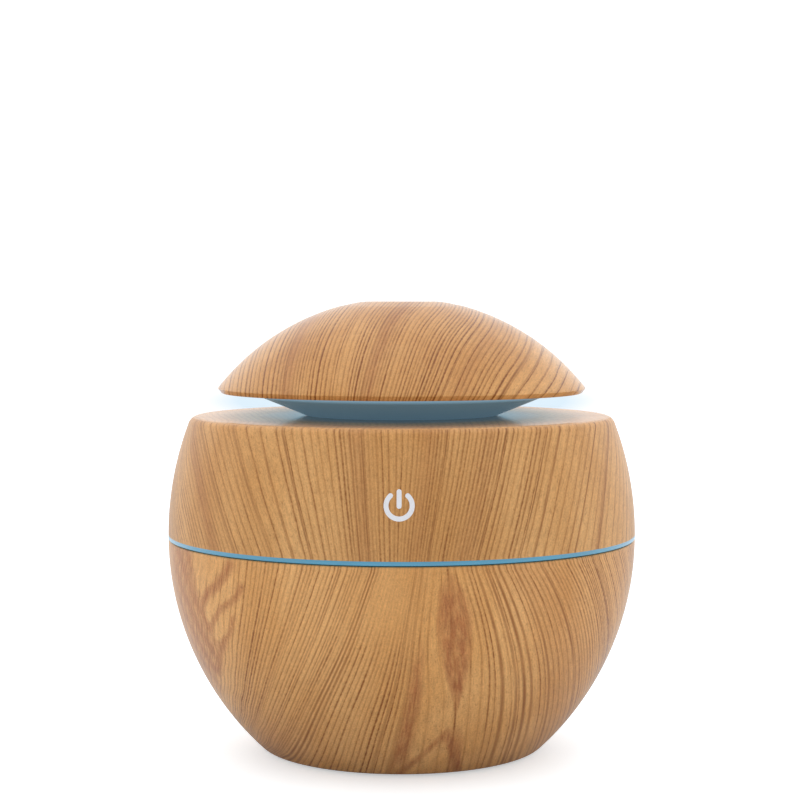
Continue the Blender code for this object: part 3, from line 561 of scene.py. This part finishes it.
def ring_lines(s, rings, run, spacing, calm):
    """The printed ring lines, as how dark each point is and how far it lies off its line in millimetres.

    Each ring's number fixes where its line lies in it, how wide and how dark it is. Calm scales the darkness.
    """
    ring = s.math("FLOORED_MODULO", s.math("FLOOR", rings), RINGS)
    luck = s.node("ShaderNodeTexWhiteNoise", {"W": ring}, noise_dimensions="1D")
    chances = s.node("ShaderNodeSeparateColor", {0: luck.outputs["Color"]}).outputs

    def along_ring(stride, step):
        """Noise that changes along the run and from ring to ring."""
        return s.noise(s.vector(s.math("MULTIPLY", ring, stride), s.math("MULTIPLY", run, step)))

    middle = s.math("MULTIPLY_ADD", s.math("ADD", chances[0], along_ring(7.3, 0.09)), 0.22, 0.28)
    off = s.math("MULTIPLY", s.math("SUBTRACT", s.math("FRACT", rings), middle), spacing)
    off = s.math("MULTIPLY_ADD", along_ring(2.7, 2.2), 0.14, s.math("SUBTRACT", off, 0.07))
    width = s.math("MULTIPLY_ADD", chances[1], 0.15, s.math("MULTIPLY_ADD", along_ring(3.1, 1.3), 0.22, 0.06))
    core = s.ramp(s.math("DIVIDE", s.math("ABSOLUTE", off), width), [(0.0, 1.0), (0.5, 0.62), (1.0, 0.0)])
    fade = s.ramp(along_ring(5.7, 0.04), [(0.3, 0.45), (0.6, 1.0)])
    dashes = s.ramp(along_ring(9.1, 1.1), [(0.3, 0.55), (0.6, 1.0)])
    boldness = s.ramp(chances[2], [(0.0, 0.45), (1.0, 1.0)])
    strength = s.math("MULTIPLY", s.math("MULTIPLY", fade, dashes), boldness)
    strength = s.math("MULTIPLY", strength, calm)
    beside = s.math("MULTIPLY_ADD", off, 0.8, 0.5)
    shoulder = s.ramp(beside, [(0.0, 0.0), (0.5, 0.35), (0.52, 0.35), (0.72, 0.0)])
    return s.math("MULTIPLY", s.math("MAXIMUM", core, shoulder), strength), off


def accent_line(s, place, run, accent):
    """One of the darkest lines, patchy along its run."""
    middle, width, depth = accent
    away = s.math("ABSOLUTE", s.math("SUBTRACT", place, middle))
    patches = s.noise(s.vector(middle, s.math("MULTIPLY", run, 0.06)), 1.0, 3.0)
    line = s.ramp(s.math("DIVIDE", away, width), [(0.0, 1.0), (0.4, 0.8), (1.0, 0.0)])
    return s.math("MULTIPLY", line, s.ramp(patches, [(0.3, depth * 0.45), (0.6, depth)]))


def wood_print(name, boldness, lightness, haze, accents):
    """Fine dark lines on warm pine, printed under a satin lacquer. Accents are (place, width, depth) lines.

    Haze is how far the lacquer's gloss grows towards the silhouette.
    """
    s = Shader(name, roughness=0.45)
    s.put("Specular IOR Level", 0.2)
    rings, run, _ = s.split(s.node("ShaderNodeUVMap", uv_map="grain").outputs[0])
    place, spacing, _ = s.split(s.node("ShaderNodeUVMap", uv_map="across").outputs[0])
    stain = s.node("ShaderNodeAttribute", attribute_name="stain").outputs["Fac"]
    solid = s.place()

    # The lacquer: glossier on the level face, most of all beside the cone, where the print also carries
    # painted blue light
    flat = s.math("GREATER_THAN", place, FLAT_PLACE - 100.0)
    sideways = s.node("ShaderNodeVectorMath", {0: solid, 1: (1.0, 1.0, 0.0)}, operation="MULTIPLY")
    radius = s.node("ShaderNodeVectorMath", {0: sideways.outputs[0]}, operation="LENGTH").outputs["Value"]
    cone_gloss_and_painted_light = s.math("MULTIPLY", flat, s.between(radius, 23.0 * MM, 31.0 * MM, 1.0, 0.0))
    facing = s.node("ShaderNodeLayerWeight", {"Blend": 0.5}).outputs["Facing"]
    gloss = s.math("MULTIPLY_ADD", s.math("MULTIPLY", facing, facing), haze, 0.1)
    s.put("Coat Weight", s.mix(flat, gloss, s.math("MULTIPLY_ADD", cone_gloss_and_painted_light, 0.2, 0.42)))
    s.put("Coat Roughness", s.math("MULTIPLY_ADD", flat, -0.11, 0.2))

    # The lines, which stains weaken
    calm = s.math("MULTIPLY_ADD", s.math("MAXIMUM", stain, 0.0), -0.7 * boldness, boldness)
    calm = s.math("MULTIPLY_ADD", s.math("MINIMUM", stain, 0.0), 0.9 * boldness, calm)
    dark, off = ring_lines(s, rings, run, spacing, s.math("MULTIPLY_ADD", flat, -0.6, calm))
    for accent in accents:
        dark = s.math("MAXIMUM", dark, accent_line(s, place, run, accent))

    # Slow changes of tone, early wood, and the red-brown of the stains
    tone = s.noise(s.scaled(solid, (75.0, 75.0, 22.0)), 1.0, 3.0)
    early = s.ramp(s.math("MULTIPLY_ADD", off, 0.3, 0.5), [(0.25, 0.0), (0.5, 1.0), (0.75, 0.0)])
    strand = s.noise(s.vector(s.math("MULTIPLY", place, 2.4), s.math("MULTIPLY", run, 0.22)), 1.0, 3.0, 0.65)
    streaky = s.math("MULTIPLY", stain, s.ramp(strand, [(0.36, 0.45), (0.62, 1.0)]))
    ground = s.mix(s.ramp(tone, [(0.35, 0.0), (0.65, 1.0)]), (0.662, 0.352, 0.132), (0.575, 0.279, 0.089))
    ground = s.mix(s.math("MULTIPLY", early, 0.22), ground, (0.47, 0.205, 0.055))
    ground = s.mix(streaky, ground, (0.335, 0.115, 0.036))

    # Pores, fibres and specks, and painted shade darkening the foot
    pores = s.noise(s.vector(s.math("MULTIPLY", rings, 9.0), s.math("MULTIPLY", run, 0.9)), 1.0, 1.0)
    pores = s.ramp(pores, [(0.60, 0.0), (0.72, 0.35)])
    inked = s.mix(s.math("MINIMUM", s.math("MAXIMUM", dark, pores), 0.95), ground, (0.185, 0.050, 0.006))
    fibre = s.noise(s.vector(s.math("MULTIPLY", rings, 5.0), s.math("MULTIPLY", run, 0.3)), 1.0, 4.0, 0.7)
    speck = s.noise(solid, 2600.0, 2.0, 0.8)
    texture = s.math("MULTIPLY_ADD", speck, 0.45, s.math("MULTIPLY", fibre, 0.55))
    shade = s.between(texture, 0.36, 0.64, 0.8 * lightness, 1.2 * lightness)
    # Painted shade: the colour darkens from 32 mm down to the base, standing in for the dimmer light low on
    # the ball
    shade = s.math("MULTIPLY", shade, s.between(s.split(solid)[2], 2.0 * MM, 32.0 * MM, 0.80, 1.0))
    print_colour = s.mix(1.0, inked, shade, "MULTIPLY")
    # Painted light: beside the cone the level face's colour is mixed towards blue, standing in for the LED's
    # light falling on it
    s.put("Base Color", s.mix(s.math("MULTIPLY", cone_gloss_and_painted_light, 0.6), print_colour, (0.26, 0.42, 0.50)))
    s.bump(s.math("MULTIPLY_ADD", dark, -0.5, s.noise(solid, 1900.0)), 0.015 * MM, 0.35)
    return s.material


def lit_plastic(name, colour, glow, strength, gloss, rim_z=None):
    """Milky plastic with light behind it. Up to rim_z it glows more and more."""
    s = Shader(name, colour, 0.33)
    cloud = s.noise(s.place(), 160.0, 3.0)
    s.put("Base Color", s.mix(s.ramp(cloud, [(0.3, 0.0), (0.7, 0.25)]), colour, glow))
    s.put("Emission Color", glow)
    s.put("Emission Strength", strength)
    if rim_z:
        height = s.split(s.place())[2]
        s.put("Emission Strength", s.between(height, rim_z - 1.2 * MM, rim_z, strength, strength * 5))
    s.put("Coat Weight", gloss)
    s.put("Coat Roughness", 0.22)
    s.put("Coat IOR", 1.85)
    s.bump(s.noise(s.place(), 1800.0), 0.02 * MM, 0.2)
    return s.material


def moulded(name, colour, roughness=0.45, texture=900.0, depth=0.03):
    """Plain moulded plastic or rubber: slight cloudiness and a fine moulded texture."""
    s = Shader(name, colour, roughness)
    place = s.place()
    cloud = s.ramp(s.noise(place, 90.0, 3.0), [(0.35, 0.0), (0.7, 0.6)])
    s.put("Base Color", s.mix(cloud, colour, tuple(c * 0.86 for c in colour)))
    s.bump(s.noise(place, texture, 3.0), depth * MM, 0.3)
    return s.material


def metal(name, colour, roughness=0.28):
    """Bare metal, a little duller where it has been handled."""
    s = Shader(name, colour, roughness, 1.0)
    place = s.place()
    rub = s.noise(place, 700.0, 4.0)
    s.put("Roughness", s.ramp(rub, [(0.3, roughness * 0.75), (0.7, roughness * 1.4)]))
    s.bump(s.noise(place, 2400.0), 0.01 * MM, 0.3)
    return s.material


def cotton():
    """A stick of pressed fibres that run along it."""
    s = Shader("cotton", (0.85, 0.83, 0.76), 0.95)
    fibres = s.noise(s.scaled(s.place(), (2600.0, 2600.0, 220.0)), 1.0, 4.0, 0.6)
    s.put("Base Color", s.ramp(fibres, [(0.3, (0.60, 0.56, 0.47)), (0.7, (0.88, 0.86, 0.80))]))
    s.put("Sheen Weight", 0.4)
    s.bump(fibres, 0.15 * MM, 0.8)
    return s.material


def circuit_board():
    """Green solder mask with faint copper tracks under it."""
    s = Shader("circuit_board", (0.02, 0.16, 0.07), 0.35)
    kind = {"feature": "DISTANCE_TO_EDGE", "distance": "CHEBYCHEV"}
    cells = s.node("ShaderNodeTexVoronoi", {"Vector": s.place(), "Scale": 420.0}, **kind)
    tracks = s.ramp(cells.outputs[0], [(0.0, 1.0), (0.09, 1.0), (0.12, 0.0)])
    s.put("Base Color", s.mix(tracks, (0.012, 0.11, 0.045), (0.03, 0.22, 0.09)))
    s.bump(tracks, 0.03 * MM, 0.5)
    return s.material


BARREL_WOOD = wood_print(
    "barrel_wood",
    boldness=1.0,
    lightness=1.05,
    haze=0.15,
    accents=[(-41.0, 0.45, 0.55), (-30.5, 0.5, 0.6), (-25.0, 0.35, 0.5), (-20.5, 0.35, 0.6)]
    + [(-9.2, 0.25, 0.8), (-7.2, 0.25, 0.8), (6.0, 0.25, 0.75), (17.0, 0.35, 0.8), (18.8, 0.25, 0.75)]
    + [(27.5, 0.3, 0.75), (31.0, 0.4, 0.7), (43.0, 0.4, 0.85), (51.5, 0.5, 0.75)],
)
BOWL_WOOD = wood_print(
    "bowl_wood",
    boldness=1.2,
    # Lighter than the barrel's print: painted light on the bowl's upper part. With the painted shade at its
    # foot this gives its top-to-bottom change of light
    lightness=1.22,
    haze=0.3,
    accents=[(-22.3, 0.3, 0.7), (-14.0, 0.3, 0.6), (-12.0, 0.3, 0.7), (-9.6, 0.25, 0.6), (-6.6, 0.28, 0.9)]
    + [(-5.9, 0.28, 0.9), (-5.1, 0.2, 0.7), (3.2, 0.3, 0.5)]
    + [(4.75, 0.35, 0.45), (16.5, 0.5, 0.7), (19.0, 0.45, 0.7), (20.6, 0.5, 0.85), (22.0, 0.4, 0.7)]
    + [(25.8, 0.4, 0.7), (32.6, 0.5, 0.8)],
)
DOME_WOOD = wood_print(
    "dome_wood",
    boldness=1.5,
    lightness=1.08,
    haze=0.6,
    accents=[(-32.2, 0.16, 0.6), (-28.6, 0.2, 0.7), (-24.3, 0.2, 0.7), (-14.0, 0.18, 0.8), (-8.4, 0.25, 0.8)]
    + [(2.6, 0.2, 0.7), (7.4, 0.2, 0.7), (13.2, 0.2, 0.75), (19.6, 0.42, 0.85), (22.5, 0.3, 0.75)],
)
RING_LIGHT = lit_plastic("ring_light", (0.01, 0.15, 0.24), (0.02, 0.28, 0.46), 0.32, 1.0)
CONE_LIGHT = lit_plastic("cone_light", (0.20, 0.30, 0.36), (0.17, 0.31, 0.42), 0.26, 0.0, RIM_Z)
WHITE = moulded("white_plastic", (0.80, 0.80, 0.78), 0.42)
SILICONE = moulded("silicone", (0.62, 0.63, 0.62), 0.55, 1500.0, 0.02)
PAD = moulded("pad_rubber", (0.05, 0.05, 0.052), 0.8, 3000.0, 0.08)
BLACK = moulded("black_parts", (0.03, 0.03, 0.032), 0.42)
RED = moulded("red_lead", (0.55, 0.03, 0.03), 0.42)
INK = moulded("symbol_ink", (0.86, 0.84, 0.86), 0.5, 2500.0, 0.01)
STEEL = metal("steel", (0.60, 0.60, 0.60))
COPPER = metal("copper", (0.74, 0.38, 0.22))
DISC = metal("piezo_disc", (0.72, 0.60, 0.34), 0.34)
COTTON = cotton()
BOARD = circuit_board()

SLOT_MATERIALS = {
    "wood_print": BARREL_WOOD,
    "light_diffuser": RING_LIGHT,
    "white_plastic": WHITE,
    "silicone": SILICONE,
    "pad_rubber": PAD,
    "cotton": COTTON,
    "steel": STEEL,
    "piezo_disc": DISC,
    "circuit_board": BOARD,
    "led_package": WHITE,
    "black_parts": BLACK,
    "copper": COPPER,
    "red_lead": RED,
}


def dress_cad_nodes():
    for part in frame["record"]["subparts"]:
        node = frame["nodes"][part["node"]]
        for slot in node.material_slots:
            slot.material = SLOT_MATERIALS[part["material_slot"]]


def place_piece(piece, body, material, slot, *stands_for):
    piece.data.materials.append(material)
    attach(piece, body)
    if stands_for:
        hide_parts(*stands_for)
    return piece


# ---------------------------------------------------------------- casing pieces


def make_bowl():
    """The lower casing: outline, rounded foot, flat base with the pad's pocket, and the inside wall."""
    wall = 1.9 * MM
    floor_z = 2.6 * MM
    fillet = 3.0 * MM
    fillet_z = BASE_Z + fillet
    fillet_deg = math.degrees(math.asin((fillet_z - BELLY_Z) / (BOWL_ARC - fillet)))
    foot = arc((side_radius(BOWL_ARC, fillet_z, fillet), fillet_z), fillet, fillet_deg, -90.0, 8)
    lip = 0.25 * MM
    pocket = 25.3 * MM
    pocket_z = BASE_Z + 0.9 * MM
    profile = (
        [(side_radius(BOWL_ARC, SEAM_Z) - lip, SEAM_Z)]
        + side(BOWL_ARC, SEAM_Z - lip, foot[0][1], 66)
        + foot[1:]
        + [(pocket + 0.3 * MM, BASE_Z), (pocket, BASE_Z + 0.2 * MM), (pocket, pocket_z), (0.0, pocket_z)]
        + [(0.0, floor_z)]
        + side(BOWL_ARC, floor_z, SEAM_Z, 24, inset=wall)
    )
    bowl = lathe("bowl_casing", profile, FINE_TURN)
    print_grain(bowl, bowl_across, BOWL_RINGS, lambda z, y: z, bowl_stains)
    place_piece(bowl, "tank", BOWL_WOOD, "wood_print", "tank_shell")


def make_barrel():
    """The upper casing with its flat top face and the window for the USB plug."""
    fillet = 2.1 * MM
    fillet_z = FACE_Z - fillet
    fillet_deg = math.degrees(math.asin((fillet_z - BELLY_Z) / (BARREL_ARC - fillet)))
    edge = arc((side_radius(BARREL_ARC, fillet_z, fillet), fillet_z), fillet, 90.0, fillet_deg, 8)
    wall = 2.2 * MM
    lip = 0.2 * MM
    low = BARREL_LOW_Z
    light_hole = 15.0  # its radius and the outer end of the level face, in millimetres
    face_end = 44.0
    face = [(r * MM, FACE_Z) for r in np.linspace(light_hole, face_end, 22)]
    profile = (
        face
        + edge
        + side(BARREL_ARC, edge[-1][1], low + lip, 24)[1:]
        + [(side_radius(BARREL_ARC, low) - lip, low)]
        + side(BARREL_ARC, low, FACE_Z - wall, 8, inset=wall)
        + [(light_hole * MM, FACE_Z - wall)]
    )
    barrel = lathe("barrel_casing", profile)
    half_straight = 2.2 * MM
    round_end = 3.3 * MM
    right = [(half_straight + x, USB_Z + z) for x, z in arc((0.0, 0.0), round_end, -90.0, 90.0, 10)]
    cut(barrel, right + [(-x, 2 * USB_Z - z) for x, z in right], 42.0 * MM, 54.0 * MM)
    print_grain(barrel, barrel_across, BARREL_RINGS, lambda z, y: z, barrel_stains)
    place_piece(barrel, "head", BARREL_WOOD, "wood_print", "upper_shell")


def make_dome():
    """The cap: a thin dome with a rolled edge round the mist outlet and a narrow bevelled rim."""
    mouth = 6.75 * MM
    mouth_low = 90.5 * MM
    mouth_wall = mouth + 1.6 * MM
    roll = 0.8 * MM
    wall = 2.0 * MM
    rim_corner = DOME_CENTRE_Z + math.sqrt(DOME_ARC**2 - RIM_RADIUS**2)
    bevel_in = RIM_RADIUS - 0.8 * MM
    # From the rolled edge the top falls ever more steeply: (radius, drop) in millimetres
    crown = ((8.3, 0.05), (9.0, 0.13), (9.8, 0.25), (10.8, 0.45), (12.0, 0.72))
    profile = (
        [(mouth, mouth_low), (mouth, TOP_Z - roll)]
        + arc((mouth + roll, TOP_Z - roll), roll, 170.0, 90.0, 6)
        + [(r * MM, TOP_Z - drop * MM) for r, drop in crown]
        + dome_side(DOME_ARC, 13.4 * MM, RIM_RADIUS - 0.15 * MM, 40)
        + [(RIM_RADIUS, rim_corner - 0.12 * MM)]
        + [(bevel_in + 0.08 * MM, RIM_Z + 0.08 * MM), (bevel_in - 0.08 * MM, RIM_Z)]
        + [(RIM_LAND, RIM_Z), (RIM_LAND, RIM_Z + 1.4 * MM)]
        + dome_side(DOME_ARC - wall, RIM_LAND - 0.5 * MM, mouth_wall, 14)
        + [(mouth_wall, mouth_low)]
    )
    dome = lathe("dome_casing", profile)
    print_grain(dome, dome_across, DOME_RINGS, lambda z, y: y, dome_stains, flats=False)
    place_piece(dome, "head", DOME_WOOD, "wood_print", "cap_dome")


def make_ring():
    """The lit ring at the seam, with the collar that stands up inside the barrel."""
    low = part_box("light_ring")[0][2]
    high = 47.45 * MM
    ease = 0.12 * MM
    inner = 44.8 * MM
    shoulder = 46.4 * MM
    collar = 48.4 * MM
    shoulder_z = 48.0 * MM
    collar_z = 49.8 * MM
    profile = softened(
        [(BELLY_RADIUS, high, ease), (BELLY_RADIUS, low, ease), (inner, low, 0.0), (inner, shoulder_z, 0.0)]
        + [(shoulder, shoulder_z, 0.0), (shoulder, collar_z, 0.0), (collar, collar_z, 0.0)]
        + [(collar, high, 0.0)]
    )
    ring = lathe("seam_light", profile)
    place_piece(ring, "head", RING_LIGHT, "light_diffuser", "light_ring")


def make_cone():
    """The glowing dish under the dome, with a band inside that its screws bite into."""
    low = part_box("cone_diffuser")[0][2]
    top = RIM_Z + 0.05 * MM
    flange = 36.8 * MM
    reach = 33.2 * MM
    neck = 20.9 * MM
    hole = 6.7 * MM
    band = (15.6 * MM, 20.6 * MM)
    web_z = low + 1.4 * MM
    band_z = low + 4.6 * MM
    profile = softened(
        [(flange, top + CONE_WALL, 0.2 * MM), (flange, top, 0.2 * MM), (reach, top, 0.9 * MM)]
        + [(neck, low, 0.25 * MM), (hole, low, 0.0), (hole, web_z, 0.0), (band[0], web_z, 0.0)]
        + [(band[0], band_z, 0.0), (band[1], band_z, 0.0), (band[1], low + 2.4 * MM, 0.0)]
        + [(reach - 0.7 * MM, top + CONE_WALL, 0.0)],
        steps=5,
    )
    cone = lathe("cone_light", profile)
    place_piece(cone, "head", CONE_LIGHT, "light_diffuser", "cone_diffuser")


# ---------------------------------------------------------------- wick spring


def make_spring():
    """The coil under the wick, with its end turns lying flat."""
    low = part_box("wick_spring")[0][2]
    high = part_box("wick_spring")[1][2]
    wire = 0.35 * MM
    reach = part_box("wick_spring")[1][0] - wire
    turns = 6.0
    steps = 40  # in a turn
    sides = 10  # of the wire
    flat_turns = 0.9  # at each end
    flat_climb = 0.8 * MM
    shape = bmesh.new()
    rings = []
    for i in range(int(turns * steps) + 1):
        turned = i / steps
        free = min(max((turned - flat_turns) / (turns - 2 * flat_turns), 0.0), 1.0)
        flat = (min(turned, flat_turns) + max(turned - turns + flat_turns, 0.0)) / flat_turns
        height = low + wire + flat_climb * flat + free * (high - low - 2 * wire - 2 * flat_climb)
        angle = 2 * math.pi * turned
        outward = Vector((math.cos(angle), math.sin(angle), 0.0))
        centre = outward * reach + Vector((0.0, 0.0, height))
        angles = [2 * math.pi * k / sides for k in range(sides)]
        around = [outward * math.cos(a) + Vector((0.0, 0.0, math.sin(a))) for a in angles]
        rings.append([shape.verts.new(centre + wire * way) for way in around])
    for a, b in zip(rings, rings[1:]):
        for k in range(sides):
            shape.faces.new((a[k - 1], a[k], b[k], b[k - 1]))
    shape.faces.new(rings[0])
    shape.faces.new(rings[-1])
    bmesh.ops.recalc_face_normals(shape, faces=shape.faces)
    spring = finished("wick_coil", shape)
    place_piece(spring, "wick_holder", STEEL, "steel", "wick_spring")
    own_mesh(spring)


# ---------------------------------------------------------------- printed power symbol


SYMBOL_Z = 58.2 * MM
SYMBOL_X = -0.5 * MM
SYMBOL_RADIUS = 2.55 * MM  # middle of the stroke
SYMBOL_STROKE = 0.97 * MM
SYMBOL_GAP_DEG = 41.0  # half of the ring's opening
SYMBOL_BAR = (-0.1 * MM, 2.7 * MM)  # the bar's ends, above the ring's centre


def stroke(shape, points, project):
    """Adds a round-ended stroke to a mesh, as quads along it and a fan at each end."""
    points = [Vector(p) for p in points]
    half = SYMBOL_STROKE / 2
    rows = []
    for i, point in enumerate(points):
        ahead = (points[min(i + 1, len(points) - 1)] - points[max(i - 1, 0)]).normalized()
        aside = Vector((-ahead.y, ahead.x)) * half
        rows.append([shape.verts.new(project(p)) for p in (point + aside, point, point - aside)])
    for a, b in zip(rows, rows[1:]):
        for k in range(2):
            shape.faces.new((a[k], a[k + 1], b[k + 1], b[k]))
    for row, inner, outer in ((rows[0], points[1], points[0]), (rows[-1], points[-2], points[-1])):
        away = (outer - inner).normalized()
        across = Vector((-away.y, away.x)) * half
        turns = [math.pi * j / 8 for j in range(1, 8)]
        round_end = [outer + across * math.cos(turn) + away * half * math.sin(turn) for turn in turns]
        rim = [shape.verts.new(project(p)) for p in round_end]
        ends = sorted((row[0], row[2]), key=lambda v: (v.co - rim[0].co).length)
        chain = [ends[0], *rim, ends[1]]
        for a, b in zip(chain, chain[1:]):
            shape.faces.new((row[1], a, b))


def make_symbol():
    """The power symbol, a layer of ink on the barrel's front."""
    proud = 0.04 * MM

    def project(point):
        x, z = SYMBOL_X + point.x, SYMBOL_Z + point.y
        reach = side_radius(BARREL_ARC, z) + proud
        return (x, -math.sqrt(reach**2 - x**2), z)

    shape = bmesh.new()
    gap = SYMBOL_GAP_DEG
    turns = [math.radians(gap + (360 - 2 * gap) * i / 48) for i in range(49)]
    stroke(shape, [(SYMBOL_RADIUS * math.sin(a), SYMBOL_RADIUS * math.cos(a)) for a in turns], project)
    low, high = SYMBOL_BAR
    stroke(shape, [(0.0, low + (high - low) * i / 8) for i in range(9)], project)
    bmesh.ops.recalc_face_normals(shape, faces=shape.faces)
    if next(iter(shape.faces)).normal.y > 0:
        bmesh.ops.reverse_faces(shape, faces=shape.faces)
    bmesh.ops.solidify(shape, geom=shape.faces[:], thickness=0.08 * MM)
    symbol = finished("power_symbol", shape)
    place_piece(symbol, "head", INK, "white_plastic")


# ---------------------------------------------------------------- stage


def set_floor():
    """A plain pale floor. The camera alone sees it glow, which keeps it as light as the backdrop."""
    bpy.ops.mesh.primitive_plane_add(size=2.4)
    floor = bpy.context.object
    floor.name = "floor"
    floor.location.z = -0.03 * MM
    s = Shader("floor", (0.80, 0.88, 0.95), 0.7)
    s.put("Emission Color", (1.0, 1.0, 1.0))
    seen = s.node("ShaderNodeLightPath").outputs["Is Camera Ray"]
    s.put("Emission Strength", s.math("MULTIPLY", seen, 0.5))
    floor.data.materials.append(s.material)


def set_overhead_light():
    light = bpy.data.lights.new("overhead", "AREA")
    light.shape = "DISK"
    light.size = 1.2
    light.energy = 2.0
    obj = bpy.data.objects.new("overhead", light)
    obj.location = (0.0, -0.15, 1.3)
    aim = Vector((0.0, 0.0, 0.05)) - obj.location
    obj.rotation_euler = aim.to_track_quat("-Z", "Y").to_euler()
    bpy.context.scene.collection.objects.link(obj)


def patch(n, direction, location, scale):
    """A soft oval patch of the surroundings: 1 at its middle, 0 outside it."""
    mapping = n.scaled(direction, scale, location)
    return n.node("ShaderNodeTexGradient", {0: mapping}, gradient_type="SPHERICAL").outputs["Fac"]


def set_world():
    """A light tent, brightest behind the object and dimmer on the camera's side."""
    world = bpy.data.worlds.new("studio")
    world.use_nodes = True
    n = Nodes(world.node_tree)
    background = n.tree.nodes["Background"]
    direction = n.node("ShaderNodeTexCoord").outputs["Generated"]
    backward = n.split(direction)[1]
    ends = {"Value": backward, "From Min": -0.9, "From Max": 0.5, "To Min": 0.72, "To Max": 1.25}
    level = n.node("ShaderNodeMapRange", ends, interpolation_type="SMOOTHSTEP").outputs["Result"]
    n.feed(background.inputs["Strength"], level)
    behind = n.math("GREATER_THAN", backward, 0.5)
    # The lit gap's blue glow on the backdrop behind the object
    glow = n.math("MULTIPLY", behind, patch(n, direction, (0.0, 0.0, 3.1), (7.5, 0.0, 60.0)))
    glow = n.ramp(glow, [(0.0, (1.0, 1.0, 1.0)), (0.24, (0.84, 0.84, 0.85)), (0.38, (0.60, 0.71, 0.79))])
    # What the top face's lacquer mirrors beside the cone: the gap's blue light, seen in reflections only
    glossy = n.node("ShaderNodeLightPath").outputs["Is Glossy Ray"]
    mirrored = n.math("MULTIPLY", patch(n, direction, (0.0, 0.0, -1.74), (10.5, 0.0, 30.0)), glossy)
    mirrored = n.math("MULTIPLY", mirrored, behind)
    mirrored = n.ramp(mirrored, [(0.0, (1.0, 1.0, 1.0)), (0.45, (0.16, 0.40, 0.54))])
    n.feed(background.inputs["Color"], n.mix(1.0, glow, mirrored, "MULTIPLY"))
    bpy.context.scene.world = world


def set_camera():
    camera = bpy.data.cameras.new("camera")
    camera.lens = CAMERA_LENS_MM
    camera.shift_x = CAMERA_SHIFT
    obj = bpy.data.objects.new("camera", camera)
    obj.location = (0.0, -CAMERA_DISTANCE, CAMERA_HEIGHT)
    obj.rotation_euler = (math.radians(CAMERA_PITCH_DEG), 0.0, 0.0)
    bpy.context.scene.collection.objects.link(obj)
    bpy.context.scene.camera = obj
    bpy.context.scene.view_settings.view_transform = "Standard"


set_camera()
dress_cad_nodes()
make_bowl()
make_barrel()
make_dome()
make_ring()
make_cone()
make_spring()
make_symbol()
set_floor()
set_world()
set_overhead_light()
